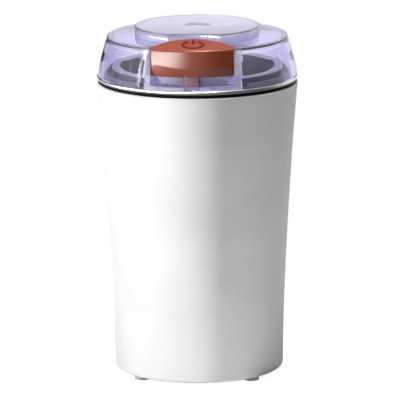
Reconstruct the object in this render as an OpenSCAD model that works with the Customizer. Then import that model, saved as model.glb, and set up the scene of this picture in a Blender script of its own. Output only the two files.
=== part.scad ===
// Electric spice grinder with a push button in its clear lid.
// Millimetres, +Z up. The origin is on the table under the middle of the body; the front is -Y.

/* [Housing] */
// Height of the housing's top edge above the table
body_h = 147; // [140:0.5:180]
// Outside diameter of the housing, taken down to the table
base_d = 84; // [70:0.5:98]
// Outside diameter of the housing at its top edge
top_d = 99.6; // [92:0.1:120]
// Flare of the side, where 1 is a straight cone
flare = 1.6; // [1:0.05:2.2]
// Housing wall
wall = 2.2; // [1.6:0.1:3]
// Radius of the housing's bottom corner
base_fillet = 2.2; // [1:0.1:4]
// Radius of the housing's top edge
edge_fillet = 0.8; // [0.2:0.1:1.2]

/* [Feet and base] */
// Height of the housing's bottom edge above the table
foot_clear = 2.1; // [1.5:0.1:6]
// Foot diameter
foot_d = 7.8; // [5:0.1:10]
// Angle of each foot from the left to right line
foot_angle = 40.5; // [30:0.5:60]
// Depth of the base plate inside the housing's bottom edge
plate_inset = 0.6; // [0:0.1:2]
// Base plate thickness
plate_t = 2.5; // [1.5:0.1:4]
// Height of the base screw bosses
base_boss_h = 12; // [8:0.5:20]
// Cord hole height above the table
cord_z = 15; // [13:0.5:30]
// Cord hole diameter through the grommet
cord_d = 7.2; // [5:0.1:9]

/* [Ring stack] */
// Gasket thickness
gasket_t = 1.6; // [0.8:0.1:3]
// How far the gasket's edge stands back from the housing
gasket_inset = 0.4; // [0:0.1:1]
// Trim ring thickness
ring_t = 1.8; // [1:0.1:3]
// How far the trim ring stands proud of the housing
ring_proud = 0.2; // [0:0.1:1]

/* [Lid] */
// Height of the lid's side, from its lower edge to its flat top
lid_h = 19.9; // [18:0.1:26]
// How far the lid's lower edge stands in from the housing's top edge
lid_inset = 0.2; // [0:0.1:1]
// How far the lid's side leans in by the shoulder
lid_lean = 4.6; // [2:0.1:7]
// Bulge of the lid's side, where 1 is a straight cone
lid_bulge = 1.35; // [1:0.05:2]
// Radius of the lid's shoulder
lid_fillet = 1.2; // [0.5:0.1:2]
// Lid wall
lid_wall = 2.2; // [1.5:0.1:3]
// Extra thickness of the lid's skirt
skirt_extra = 0.5; // [0.2:0.1:1]
// Height of the lid's thicker skirt
skirt_h = 7.5; // [6:0.5:9]
// Crown diameter
crown_d = 62; // [56:0.5:66]
// Crown height above the lid's flat top
crown_h = 4.8; // [2:0.1:8]
// Crown wall
crown_wall = 2; // [1.2:0.1:3]
// Depth of the bite in the crown's front
crown_bite = 4.7; // [3.2:0.1:6]
// Radius of the bite
bite_r = 45; // [35:1:80]
// Diameter of the dimple in the crown
dimple_d = 13; // [6:0.5:20]

/* [Button] */
// Button width
button_w = 40.3; // [36:0.1:44]
// Height of the button's lower edge above the lid's lower edge
button_rise = 6.3; // [5.5:0.1:8]
// Height of the button's front face
button_face_h = 13.4; // [11:0.1:15]
// Slope of the button's top
button_slope = 10; // [4:0.5:14]
// Depth of the button from front to back
button_depth = 17.7; // [16:0.1:19]
// Radius of the button's back
button_back_r = 26; // [24:0.5:32]
// How far the button's front stands in from the lid's lower edge
button_inset = 2.4; // [2:0.1:4]
// Button wall
button_wall = 1.8; // [1.2:0.1:2.5]
// How far the button goes down
button_travel = 3.5; // [2:0.1:3.8]
// Width of the tab under the button
tab_w = 7.1; // [5:0.1:9]
// Thickness of the tab
tab_t = 2.4; // [1.6:0.1:3]
// Spread of the two button springs, from the middle
spring_spread = 10; // [8:0.5:13]

/* [Bowl and carrier] */
// Bowl depth below its rim
bowl_depth = 45.3; // [37:0.1:54]
// Bowl sheet thickness
bowl_t = 0.6; // [0.4:0.1:1.2]
// Radius of the bowl's bottom corner
bowl_corner = 8; // [3:0.5:12]
// Height of the bowl's rim above the deck
rim_rise = 5.1; // [4:0.1:7]
// Diameter of the bead around the rim
bead_d = 1.3; // [1:0.1:2]
// Carrier wall
carrier_wall = 1.8; // [1.2:0.1:2.5]
// Carrier floor thickness
carrier_floor_t = 2.4; // [1.6:0.1:4]
// Space between the bowl and the carrier's floor
bowl_lift = 2.4; // [1:0.1:5]

/* [Motor] */
// Stator diameter
stator_d = 54; // [50:0.5:58]
// Stator stack height
stator_h = 24; // [18:0.5:28]
// Armature diameter
armature_d = 29.2; // [26:0.1:31]
// Commutator diameter
commutator_d = 18; // [14:0.5:20]
// Shaft diameter
shaft_d = 6; // [5:0.1:8]
// Fan diameter
fan_d = 42; // [34:0.5:43]
// Bearing outside diameter
bearing_d = 16; // [13:0.5:19]
// Blade length, tip to tip
blade_l = 66; // [50:0.5:70]

/* [Interlock] */
// Thickness of the rod beside the carrier
rod_t = 1.6; // [1.2:0.1:2]
// Width of the rod beside the carrier
rod_w = 6; // [5:0.1:7]
// Width of the microswitch
switch_w = 20; // [18:0.1:21]
// Depth of the microswitch
switch_d = 6.4; // [5.5:0.1:7]
// Height of the microswitch
switch_h = 10.2; // [8:0.1:12]

/* [Clearances] */
// Gap between pieces that lie face to face but come apart
face_gap = 0.1; // [0.05:0.05:0.3]
// Gap around sliding pieces
slide_gap = 0.35; // [0.3:0.05:0.6]
// Gap around a nested piece that stays put
nest_gap = 0.15; // [0.1:0.05:0.4]
// Radial gap around a running shaft
run_gap = 0.05; // [0.02:0.01:0.1]
// Radial gap around a screw
screw_gap = 0.05; // [0.02:0.01:0.2]
// Gap between a piece and the seat it rests on
seat_gap = 0.05; // [0.02:0.01:0.1]

/* [Hidden] */
$fn = 96;
small_fn = 32;
eps = 0.01;
touch_gap = 0.02;
far = 100;
// How far a cutting shape runs past what it cuts
over = 1;
// How far one shape runs into another that it is joined to
sink = 1;

// Housing outline
profile_steps = 14;
function outer_r(z) = base_d / 2 + (top_d - base_d) / 2 * pow(max(z, 0) / body_h, flare);
function inner_r(z) = outer_r(z) - wall;
function arc_pts(cx, cz, r, a0, a1, n) =
    [for (i = [0:n]) [cx + r * cos(a0 + (a1 - a0) * i / n), cz + r * sin(a0 + (a1 - a0) * i / n)]];

// Width of the flat edge that the bottom corner's curve leaves
lip_w = 0.5;

// Base
plate_z = foot_clear + plate_inset;
plate_top = plate_z + plate_t;
plate_r = inner_r(plate_z) - nest_gap;
base_screw_r = 1.45;
base_boss_r = 3.4;
base_boss_at = plate_r - base_boss_r;
base_screw_l = 10;
base_boss_roof = 2;
base_angles = [0, 120, 240];
base_head_r = 2.7;
base_head_t = 1.5;
head_room = 0.2;
rib_half = 1;
foot_at = inner_r(foot_clear) - nest_gap - foot_d / 2;
foot_pin_r = 1.5;
foot_pin_proud = 1.2;
vent_count = 7;
vent_w = 2.2;
vent_pitch = 5;
vent_l = 30;
vent_x = -7;
grommet_r = cord_d / 2 + 1.5;
grommet_lip = 1.8;
grommet_lip_t = 1.3;

// Ring stack, from the housing's top edge up
ring_z = body_h + gasket_t;
ring_top = ring_z + ring_t;
lid_z = ring_top + face_gap;
lid_top = lid_z + lid_h;
crown_top = lid_top + crown_h;
deck_top = ring_top - face_gap * 2;
deck_t = 2;
deck_z = deck_top - deck_t;
deck_skirt_z = body_h - 2.6;
deck_r = inner_r(deck_skirt_z) - nest_gap;
deck_skirt_t = 1.6;

// Lid outline
lid_side_h = lid_h - lid_fillet;
function lid_r(h) = top_d / 2 - lid_inset - lid_lean * pow(min(h, lid_side_h) / lid_side_h, lid_bulge);
lid_plate_t = 2;
lid_step_taper = 1;
skirt_in_r = lid_r(0) - lid_wall - skirt_extra;

// Bowl, its carrier and the rod that runs outside it
rim_top = deck_top + rim_rise;
bowl_floor = rim_top - bowl_depth;
carrier_top = rim_top - bead_d;
well_top = bowl_floor - bowl_t - bowl_lift;
well_z = well_top - carrier_floor_t;
foot_drop = 6.1;
rod_foot_z = well_z - foot_drop;
rod_corner_r = inner_r(rod_foot_z - button_travel) - slide_gap;
rod_out_y = sqrt(pow(rod_corner_r, 2) - pow(rod_w / 2, 2));
rod_in_y = rod_out_y - rod_t;
carrier_r = rod_in_y - slide_gap;
well_r = carrier_r - carrier_wall;
bowl_r = well_r - slide_gap;
bead_at = carrier_r + bead_d / 2;
bowl_hole_r = 5.5;
support_r = 12;
well_hole_r = 9;

// Carrier screws and posts
post_r = 2.3;
lug_r = 2.6;
lug_t = 3;
post_at = carrier_r + slide_gap + lug_r;
post_z = body_h - 6;
carrier_screw_r = 1.1;
carrier_head_r = 2;
carrier_head_t = 1.6;
post_angles = [45, 135, 225, 315];

// Lid guide ribs on the deck
guide_h = 2.2;
guide_t = 1.3;
guide_r = skirt_in_r - 0.6;
guide_break = button_w / 2 + 6;

// Notch for the button: a low pocket in front of the bowl's bead and a floor over the bead
notch_gap = 0.45;
notch_half = button_w / 2 + notch_gap;
notch_wall = 1.8;
notch_floor_z = lid_z + 0.5;
notch_floor_t = 1.4;
notch_floor_top = notch_floor_z + notch_floor_t;
pocket_wall = 1.2;
pocket_in_r = bead_at + bead_d / 2 + slide_gap;
pocket_r = pocket_in_r + pocket_wall;
shelf_over_z = rim_top + 0.5;
shelf_over_t = 1.2;
shelf_over_top = shelf_over_z + shelf_over_t;
post_top_w = 2.1;
post_foot_w = 4.3;
button_r = lid_r(0) - button_inset;
button_z = lid_z + button_rise;
button_back_y = button_r - button_depth;
back_cy = -button_back_y - button_back_r;
top_front_z = button_z + button_face_h;
ceiling_t = 2;
dimple_t = 0.7;

// Tab under the button and the head of the rod that it meets
tab_out_y = button_r - 0.8;
tab_in_y = tab_out_y - tab_t;
tab_z = lid_z + 1.3;
head_w = tab_w + 0.1;
head_out_y = tab_out_y + 0.1;
head_in_y = tab_in_y - 0.1;
head_top = tab_z - 0.2;
head_z = body_h - 3.4;
slot_half = head_w / 2 + slide_gap;

// Guide posts and springs inside the button
button_back_z = shelf_over_top + button_travel + 0.4;
guide_post_r = 2.8;
guide_post_top = shelf_over_top + 1.2;
guide_pin_r = 1.1;
guide_pin_top = guide_post_top + 5;
spring_at_y = -(button_back_y + button_r) / 2 + 1;
button_spring_r = 2.1;
button_spring_wire = 0.3;
button_spring_turns = 6;
button_spring_drop = 0.35;
ceiling_drop = ceiling_t / cos(button_slope);
ceiling_at_spring = top_front_z + (button_r + spring_at_y) * tan(button_slope) - ceiling_drop;

// Rod, its ear, spring and shelf
ear_x = rod_w / 2 + 5.4;
ear_t = 2.2;
shelf_z = well_z + 5.8;
shelf_t = 2;
shelf_top = shelf_z + shelf_t;
ear_z = shelf_top + 10;
rod_spring_r = 1.35;
rod_spring_wire = 0.25;
rod_spring_turns = 7;
rod_spring_x = rod_w / 2 + 2.9;
rod_spring_at = carrier_r + slide_gap + rod_spring_r + rod_spring_wire;
rod_spring_y = -sqrt(pow(rod_spring_at, 2) - pow(rod_spring_x, 2));
rod_foot_t = 3;
nub_w = 2;
nub_h = 1.2;
rod_neck = 2;
guide_rib_t = 1.2;
guide_rib_drop = 4;
spring_pin_h = 3;

// Microswitch, its lever and plunger
switch_x = 4;
switch_gap_y = 3.2;
switch_hole_x = 4.75;
switch_hole_z = 3;
terminal_at = 7.5;
terminal_half_x = 0.3;
terminal_half_y = 1.5;
plunger_room = 4;
plunger_drop = 1.8;
lever_rest = 17;
lever_arm = 13;
lever_reach = 15.5;
lever_t = 0.4;
lever_w = 4;
lever_x = switch_x + 9;
pivot_up = 0.8;
pivot_r = 0.5;
pivot_room = 1.2;
lever_press_h = pivot_up + (lever_arm + nub_w / 2) * tan(lever_rest) + lever_t;
lever_free = 0.25;
switch_top = rod_foot_z - nub_h - lever_press_h - lever_free;
switch_z = switch_top - switch_h;
switch_room_y = sqrt(pow(inner_r(switch_z) - slide_gap, 2) - pow(switch_x + switch_w / 2, 2));
switch_out_y = min(rod_out_y - switch_gap_y, switch_room_y);
switch_in_y = switch_out_y - switch_d;
switch_mid_y = -(switch_out_y + switch_in_y) / 2;
nub_out_y = switch_out_y - 1.2;
nub_in_y = switch_in_y + 1.4;
plunger_x = 6.5;
plunger_r = 1;
plunger_top = switch_top + pivot_up + plunger_x * tan(lever_rest) - lever_t / 2 - 0.45;
tongue_t = 2;
tongue_gap = 0.1;
switch_screw_r = 1.1;
switch_head_r = 1.9;
switch_head_t = 1.2;
terminal_l = 4;

// Motor stack, hung from the carrier's floor
boss_h = 5.9;
boss_r = 4;
boss_at = 20;
boss_angles = [0, 120, 240];
damper_t = 2.2;
bracket_t = 2.5;
bracket_r = stator_d / 2 + 2;
upper_top = well_z - boss_h - damper_t;
upper_z = upper_top - bracket_t;
mount_screw_r = 1.45;
mount_head_r = 2.7;
mount_head_t = 2;
fan_h = 8;
fan_top = upper_z - 4;
fan_z = fan_top - fan_h;
core_top = fan_z - 9;
core_z = core_top - stator_h;
coil_over = 6.5;
comm_top = core_z - 10;
comm_z = comm_top - 9;
lower_top = comm_z - 3.5;
lower_z = lower_top - bracket_t;
shaft_z = lower_z - 4.5;
bearing_h = 5;
cup_wall = 1.2;
cup_over = 1.5;
lower_cup = 2.7;
bearing_inset = 0.1;
bearing_race = 1.6;
bearing_groove = 0.5;
vent_hole_r = 4.5;
vent_hole_at = 17;
vent_hole_turn = 60;
arm_w = 18;
leg_w = 12;
leg_t = 4.6;
leg_at = stator_d / 2 - 0.2;
bolt_r = 1.6;
bolt_head_r = 2.9;
bolt_head_t = 1.7;
bolt_nut_r = 3.2;
bolt_nut_t = 2.4;
bolt_end = 1;
bolt_at = leg_at - leg_t / 2;
shaft_r = shaft_d / 2;
shaft_flat = 0.5;
bore_r = armature_d / 2 + 0.6;
shoe_t = 1;
shoe_gap = 3;
slot_r = bore_r + shoe_t;
yoke_r = stator_d / 2 - 5.5;
pole_half = 14.2;
coil_gap = 0.2;
coil_split = 1;
armature_slots = 12;
slot_depth = 5;
slot_w = 1.8;
winding_h = 4.5;
winding_cap = 1.5;
winding_in = 1.5;
bars = 12;
bar_gap = 0.5;
bar_gap_depth = 0.8;
riser = 1.6;
fan_blades = 9;
fan_hub_r = 7;
fan_disc_t = 1.4;
fan_blade_t = 1.2;
fan_blade_lean = 14;
fan_blade_turn = 12;
brush_w = 5;
holder_w = 7;
holder_l = 14;
pedestal_half = 3;
holder_wall = 1;
brush_room = brush_w / 2 + face_gap;
brush_x = commutator_d / 2 + 0.3;
brush_spring_r = 1.8;
brush_spring_wire = 0.25;
brush_spring_turns = 4;
holder_x = commutator_d / 2 + 1.4;
holder_mid = holder_x + holder_l / 2;
brush_l = 9;
brush_z = (comm_z + comm_top) / 2;

// Blade and what holds it
blade_z = bowl_floor + 4.2;
blade_t = 1.2;
blade_w = 11;
blade_tilt = 7;
blade_hub_r = 6.5;
blade_hub_over = 0.4;
blade_sweep = 7;
blade_nose = 4.5;
blade_cut = 1;
blade_heel = 1.5;
spacer_r = 5;
nut_top_h = 1.6;
spacer_h = 2.6;
nut_h = 4;
nut_r = 5.2;
nut_roof = 1;
nut_z = blade_z + blade_t + blade_hub_over + touch_gap;
shaft_top = nut_z + nut_h - nut_roof;
seal_r = bowl_hole_r - screw_gap;
seal_flange_r = 8.2;
seal_top = bowl_floor + 1.3;

// Board, capacitor and wires
board_z = plate_top + 4.5;
board_t = 1.6;
board_w = 20;
board_l = 34;
board_x = -22;
board_post_r = 2;
board_post_at = 7;
tab_block_h = 5;
tab_block_half_x = 3;
tab_block_half_y = 2;
tab_block_at = board_l / 2 - 4;
cap_w = 8;
cap_l = 17;
cap_h = 9;
wire_r = 0.8;
wire_joint_r = 1;
wire_lift = 6;
wire_bend = 6;
wire_edge = 2.5;

WHITE = "#f2f2f0";
BLACK = "#1d1d1f";
STEEL = "#c9ccce";
CLEAR = "#b9b0ea";
TERRACOTTA = "#b5604c";
COPPER = "#b8713a";
IRON = "#7a7c80";
BRASS = "#c9a64e";
RUBBER = "#2a2a2c";
BOARD = "#2f6b45";
ZINC = "#b8bcc0";
YELLOW = "#c8b23a";
RED = "#b03a2e";
BLUE = "#2e4fb0";

// ---- shared shapes ----

module ring(r_out, r_in, z0, z1) {
    difference() {
        translate([0, 0, z0]) cylinder(r = r_out, h = z1 - z0);
        translate([0, 0, z0 - over]) cylinder(r = r_in, h = z1 - z0 + 2 * over);
    }
}

module post(r, x, y, z0, z1) {
    translate([x, y, z0]) cylinder(r = r, h = z1 - z0, $fn = small_fn);
}

module slab(x0, x1, y0, y1, z0, z1) {
    translate([x0, y0, z0]) cube([x1 - x0, y1 - y0, z1 - z0]);
}

// A helical spring: a round wire swept along a coil
module coil_spring(coil_r, wire, z0, z1, turns) {
    sides = 6;
    per_turn = 14;
    rings = per_turn * turns;
    rise = z1 - z0 - 2 * wire;
    points = [
        for (i = [0:rings], j = [0:sides - 1])
            let (a = 360 * i / per_turn, b = 360 * j / sides)
            [
                (coil_r + wire * cos(b)) * cos(a),
                (coil_r + wire * cos(b)) * sin(a),
                z0 + wire + rise * i / rings + wire * sin(b)
            ]
    ];
    side_faces = [
        for (i = [0:rings - 1], j = [0:sides - 1])
            let (k = (j + 1) % sides)
            [i * sides + j, i * sides + k, (i + 1) * sides + k, (i + 1) * sides + j]
    ];
    first = [for (j = [0:sides - 1]) sides - 1 - j];
    last = [for (j = [0:sides - 1]) rings * sides + j];
    polyhedron(points = points, faces = concat(side_faces, [first], [last]), convexity = 8);
}

// ---- housing and base ----

module housing_outline() {
    low = foot_clear;
    corner_at = outer_r(low + base_fillet) - base_fillet;
    corner_a = acos(max(0, (inner_r(low) + lip_w - corner_at) / base_fillet));
    side_out = [
        for (i = [1:profile_steps])
            let (z = low + base_fillet + (body_h - edge_fillet - low - base_fillet) * i / profile_steps)
            [outer_r(z), z]
    ];
    side_in = [
        for (i = [0:profile_steps])
            let (z = body_h - (body_h - low) * i / profile_steps)
            [inner_r(z), z]
    ];
    polygon(concat(
        arc_pts(corner_at, low + base_fillet * sin(corner_a), base_fillet, -corner_a, 0, 6),
        side_out,
        arc_pts(outer_r(body_h) - edge_fillet, body_h - edge_fillet, edge_fillet, 15, 90, 4),
        side_in
    ));
}

module housing() {
    color(WHITE) difference() {
        union() {
            rotate_extrude() housing_outline();
            intersection() {
                for (a = base_angles)
                    rotate([0, 0, a]) {
                        post(base_boss_r, base_boss_at, 0, plate_top, plate_top + base_boss_h);
                        slab(base_boss_at, inner_r(plate_top) + wall / 2, -rib_half, rib_half,
                             plate_top, plate_top + base_boss_h);
                    }
                cylinder(r = inner_r(plate_top) + wall / 2, h = body_h);
            }
            for (a = post_angles)
                rotate([0, 0, a]) {
                    post(lug_r, post_at, 0, post_z - lug_t, post_z);
                    slab(post_at, inner_r(post_z) + wall / 3, -lug_r, lug_r, post_z - lug_t, post_z);
                }
        }
        for (a = base_angles)
            rotate([0, 0, a])
                post(base_screw_r + screw_gap, base_boss_at, 0, plate_top - over,
                     plate_top + base_boss_h - base_boss_roof);
        for (a = post_angles)
            rotate([0, 0, a])
                post(carrier_screw_r + head_room, post_at, 0, post_z - lug_t - over, post_z + over);
        translate([0, 0, cord_z])
            rotate([-90, 0, 0]) cylinder(r = grommet_r + screw_gap, h = far, $fn = small_fn * 2);
    }
}

module base_plate() {
    color(WHITE) difference() {
        union() {
            translate([0, 0, plate_z]) cylinder(r = plate_r, h = plate_t);
            for (x = [-1, 1])
                post(board_post_r, board_x + x * board_post_at, 0, plate_top - eps, board_z);
        }
        for (a = base_angles)
            rotate([0, 0, a]) {
                post(base_screw_r + head_room, base_boss_at, 0, plate_z - over, plate_top + over);
                post(base_head_r + head_room, base_boss_at, 0, plate_z - over,
                     plate_z + base_head_t + seat_gap);
            }
        for (s = [-1, 1], a = [-foot_angle, foot_angle])
            rotate([0, 0, (s > 0 ? 0 : 180) + a])
                post(foot_pin_r + screw_gap, foot_at, 0, plate_z - over, plate_top + over);
        for (i = [0:vent_count - 1])
            let (y = (i - (vent_count - 1) / 2) * vent_pitch)
            slab(vent_x, vent_x + vent_l, y - vent_w / 2, y + vent_w / 2, plate_z - over, plate_top + over);
    }
}

module base_screws() {
    color(ZINC)
        for (a = base_angles)
            rotate([0, 0, a]) {
                post(base_head_r, base_boss_at, 0, plate_z, plate_z + base_head_t);
                post(base_screw_r, base_boss_at, 0, plate_z + base_head_t - eps,
                     plate_z + base_head_t + base_screw_l);
            }
}

module rubber_feet() {
    color(RUBBER)
        for (s = [-1, 1], a = [-foot_angle, foot_angle])
            rotate([0, 0, (s > 0 ? 0 : 180) + a]) {
                post(foot_d / 2, foot_at, 0, 0, plate_z - eps);
                post(foot_pin_r, foot_at, 0, plate_z - sink, plate_top + foot_pin_proud);
            }
}

module cord_grommet() {
    out_r = outer_r(cord_z + grommet_r + grommet_lip);
    in_r = inner_r(cord_z - grommet_r - grommet_lip);
    start = in_r * cos(asin((grommet_r + grommet_lip) / in_r)) - 2 * grommet_lip_t;
    color(RUBBER) difference() {
        intersection() {
            union() {
                translate([0, start, cord_z])
                    rotate([-90, 0, 0]) cylinder(r = grommet_r, h = far, $fn = small_fn * 2);
                intersection() {
                    translate([0, start, cord_z])
                        rotate([-90, 0, 0])
                            cylinder(r = grommet_r + grommet_lip, h = far, $fn = small_fn * 2);
                    union() {
                        ring(out_r + grommet_lip_t, out_r + seat_gap, 0, far);
                        ring(in_r - seat_gap, in_r - grommet_lip_t, 0, far);
                    }
                }
            }
            ring(out_r + grommet_lip_t, in_r - grommet_lip_t, 0, far);
        }
        rotate([-90, 0, 0])
            translate([0, -cord_z, 0]) cylinder(r = cord_d / 2, h = far, $fn = small_fn * 2);
    }
}

// ---- ring stack ----

module gasket_ring() {
    color(BLACK) ring(top_d / 2 - gasket_inset, deck_r + nest_gap, body_h, ring_z);
}

module trim_ring() {
    out = top_d / 2 + ring_proud;
    in = deck_r + nest_gap;
    edge = 0.4;
    color(STEEL) rotate_extrude() polygon(concat(
        [[in, ring_z]],
        arc_pts(out - edge, ring_z + edge, edge, -90, 0, 4),
        arc_pts(out - edge, ring_top - edge, edge, 0, 90, 4),
        [[in, ring_top]]
    ));
}

// ---- carrier, bowl and seal ----

module bowl_carrier() {
    color(BLACK) difference() {
        union() {
            ring(carrier_r, well_r, well_z, carrier_top);
            ring(carrier_r, well_hole_r, well_z, well_top);
            ring(support_r, well_hole_r, well_z, bowl_floor - bowl_t - seat_gap);
            ring(deck_r, well_r, deck_z, deck_top);
            ring(deck_r, deck_r - deck_skirt_t, deck_skirt_z, deck_top);
            difference() {
                ring(guide_r, guide_r - guide_t, deck_top - eps, deck_top + guide_h);
                slab(-guide_break, guide_break, -far, 0, deck_top, deck_top + far);
            }
            for (a = post_angles)
                rotate([0, 0, a]) post(post_r, post_at, 0, post_z + seat_gap, deck_z + sink);
            for (a = boss_angles)
                rotate([0, 0, a]) post(boss_r, boss_at, 0, well_z - boss_h, well_z + sink);
            rod_guides();
            spring_shelf();
            switch_tongue();
        }
        slab(-slot_half, slot_half, -far, -head_in_y + slide_gap, deck_skirt_z - over, deck_top + far);
        for (a = post_angles)
            rotate([0, 0, a])
                post(carrier_screw_r + screw_gap, post_at, 0, post_z - over, deck_z);
        for (a = boss_angles)
            rotate([0, 0, a])
                post(mount_screw_r + screw_gap, boss_at, 0, well_z - boss_h - over, well_z);
        for (x = [-1, 1])
            translate([switch_x + x * switch_hole_x, 0, switch_z + switch_hole_z])
                rotate([90, 0, 0]) cylinder(r = switch_screw_r + screw_gap, h = far, $fn = small_fn);
    }
}

module rod_guides() {
    for (s = [-1, 1])
        intersection() {
            slab(s > 0 ? rod_w / 2 + slide_gap : -rod_w / 2 - slide_gap - guide_rib_t,
                 s > 0 ? rod_w / 2 + slide_gap + guide_rib_t : -rod_w / 2 - slide_gap,
                 -rod_out_y, -carrier_r + carrier_wall / 2, shelf_z - guide_rib_drop, shelf_top);
            cylinder(r = rod_corner_r, h = far * 2);
        }
}

module spring_shelf() {
    intersection() {
        slab(rod_w / 2 + slide_gap, ear_x, -far, -carrier_r * cos(asin(ear_x / carrier_r)) + sink,
             shelf_z, shelf_top);
        ring(inner_r(shelf_z) - slide_gap, carrier_r - carrier_wall / 2, shelf_z, shelf_top);
    }
    post(rod_spring_r - rod_spring_wire - slide_gap, rod_spring_x, rod_spring_y,
         shelf_top - eps, shelf_top + spring_pin_h);
}

module switch_tongue() {
    slab(switch_x - switch_w / 2, switch_x + switch_w / 2,
         -switch_in_y + tongue_gap, -switch_in_y + tongue_gap + tongue_t, switch_z, well_z + sink);
}

module carrier_screws() {
    color(ZINC)
        for (a = post_angles)
            rotate([0, 0, a]) {
                post(carrier_head_r, post_at, 0, post_z - lug_t - carrier_head_t, post_z - lug_t - touch_gap);
                post(carrier_screw_r, post_at, 0, post_z - lug_t - sink, deck_z - over);
            }
}

module bowl_outline() {
    r = bowl_r;
    c = bowl_corner;
    t = bowl_t;
    low = bowl_floor - t;
    flange = rim_top - bead_d / 2;
    polygon(concat(
        [[bowl_hole_r, low]],
        arc_pts(r - c - t, low + c + t, c + t, -90, 0, 8),
        [[r, flange - t / 2], [bead_at, flange - t / 2], [bead_at, flange + t / 2],
         [r - t, flange + t / 2]],
        arc_pts(r - c - t, low + c + t, c, 0, -90, 8),
        [[bowl_hole_r, low + t]]
    ));
}

module bowl() {
    color(STEEL) rotate_extrude() {
        bowl_outline();
        translate([bead_at, rim_top - bead_d / 2]) circle(d = bead_d, $fn = small_fn);
    }
}

module shaft_seal() {
    color(RUBBER) difference() {
        union() {
            translate([0, 0, bowl_floor + seat_gap])
                cylinder(r1 = seal_flange_r, r2 = seal_r, h = seal_top - bowl_floor);
            translate([0, 0, well_z]) cylinder(r = seal_r, h = seal_top - well_z);
            translate([0, 0, well_z]) cylinder(r = well_hole_r - face_gap, h = carrier_floor_t);
        }
        translate([0, 0, well_z - over]) cylinder(r = shaft_r + run_gap, h = far);
    }
}

// ---- lid ----

function lid_side(steps) = [
    for (i = [0:steps])
        let (h = (lid_h - lid_fillet) * i / steps)
        [lid_r(h), lid_z + h]
];

function lid_side_in(steps) = [
    for (i = [0:steps])
        let (h = lid_h - lid_plate_t - (lid_h - lid_plate_t - skirt_h - lid_step_taper) * i / steps)
        [lid_r(h) - lid_wall, lid_z + h]
];

function lid_skirt_in(steps) = [
    for (i = [0:steps])
        let (h = skirt_h * (1 - i / steps))
        [lid_r(h) - lid_wall - skirt_extra, lid_z + h]
];

module lid_envelope() {
    rotate_extrude() polygon(concat(
        [[0, lid_z]],
        lid_side(10),
        arc_pts(lid_r(lid_h) - lid_fillet, lid_top - lid_fillet, lid_fillet, 15, 90, 4),
        [[0, lid_top]]
    ));
}

module lid_hollow() {
    rotate_extrude() polygon(concat(
        [[0, lid_top - lid_plate_t]],
        lid_side_in(6),
        lid_skirt_in(4),
        [[lid_r(0) - lid_wall - skirt_extra, lid_z - over], [0, lid_z - over]]
    ));
}

// Room around the button, open to the front and the top
module notch_room(r, half, z0) {
    intersection() {
        translate([0, back_cy, z0]) cylinder(r = r, h = far);
        slab(-half, half, -far, 0, z0, z0 + far);
    }
}

// Walls around that room, with posts that taper towards the top, clear of the bowl's bead
module notch_walls() {
    difference() {
        intersection() {
            lid_envelope();
            translate([0, back_cy, notch_floor_z])
                cylinder(r = button_back_r + notch_gap + notch_wall, h = far);
            rotate([90, 0, 0]) linear_extrude(far)
                polygon([
                    [-notch_half - post_foot_w, notch_floor_z], [notch_half + post_foot_w, notch_floor_z],
                    [notch_half + post_top_w, lid_top], [-notch_half - post_top_w, lid_top]
                ]);
        }
        translate([0, 0, notch_floor_z - over])
            cylinder(r = pocket_in_r, h = shelf_over_z - notch_floor_z + over);
    }
}

module lid_shell() {
    color(CLEAR, 0.45) {
        difference() {
            union() {
                difference() {
                    lid_envelope();
                    lid_hollow();
                }
                notch_walls();
            }
            notch_room(button_back_r + notch_gap, notch_half, shelf_over_top);
            difference() {
                notch_room(button_back_r + notch_gap, notch_half, notch_floor_top);
                translate([0, 0, notch_floor_top - over]) cylinder(r = pocket_r, h = far);
            }
            slab(-slot_half, slot_half, -head_out_y - slide_gap, -head_in_y + slide_gap,
                 lid_z - over, shelf_over_top);
        }
        for (s = [-1, 1]) {
            post(guide_post_r, s * spring_spread, spring_at_y, shelf_over_top - eps, guide_post_top);
            post(guide_pin_r, s * spring_spread, spring_at_y, guide_post_top - eps, guide_pin_top);
        }
    }
}

module crown_plan(r, bite) {
    difference() {
        circle(r = r);
        translate([0, -crown_d / 2 + crown_bite - bite_r]) circle(r = bite);
    }
}

module lid_crown() {
    z = lid_top + touch_gap;
    color(CLEAR, 0.45) difference() {
        translate([0, 0, z]) linear_extrude(crown_top - z) crown_plan(crown_d / 2, bite_r);
        translate([0, 0, z - over]) linear_extrude(crown_h + over - crown_wall)
            crown_plan(crown_d / 2 - crown_wall, bite_r + crown_wall);
        translate([0, 0, crown_top - dimple_t]) cylinder(d = dimple_d, h = dimple_t + over);
    }
}

// ---- button ----

module button_plan(inset) {
    intersection() {
        circle(r = button_r - inset);
        translate([0, back_cy]) circle(r = button_back_r - inset);
        square([button_w - 2 * inset, far * 2], center = true);
    }
}

// Everything under the button's sloping top, lowered by a depth
module under_slope(depth) {
    translate([0, -button_r, top_front_z - depth])
        rotate([button_slope, 0, 0]) slab(-far, far, -far, far, -far, 0);
}

module button_cap() {
    color(TERRACOTTA) {
        intersection() {
            union() {
                difference() {
                    translate([0, 0, button_z]) linear_extrude(far) button_plan(0);
                    intersection() {
                        translate([0, 0, button_z - over]) linear_extrude(far) button_plan(button_wall);
                        under_slope(ceiling_drop);
                    }
                    translate([0, 0, button_z - over])
                        cylinder(r = pocket_r + notch_gap, h = button_back_z - button_z + over);
                }
                slab(-tab_w / 2, tab_w / 2, -tab_out_y, -tab_in_y, tab_z, top_front_z - eps);
            }
            under_slope(0);
        }
    }
}

module button_springs() {
    color(ZINC)
        for (s = [-1, 1])
            translate([s * spring_spread, spring_at_y, 0])
                coil_spring(button_spring_r, button_spring_wire, guide_post_top + seat_gap,
                            ceiling_at_spring - button_spring_drop, button_spring_turns);
}

// ---- interlock ----

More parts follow.
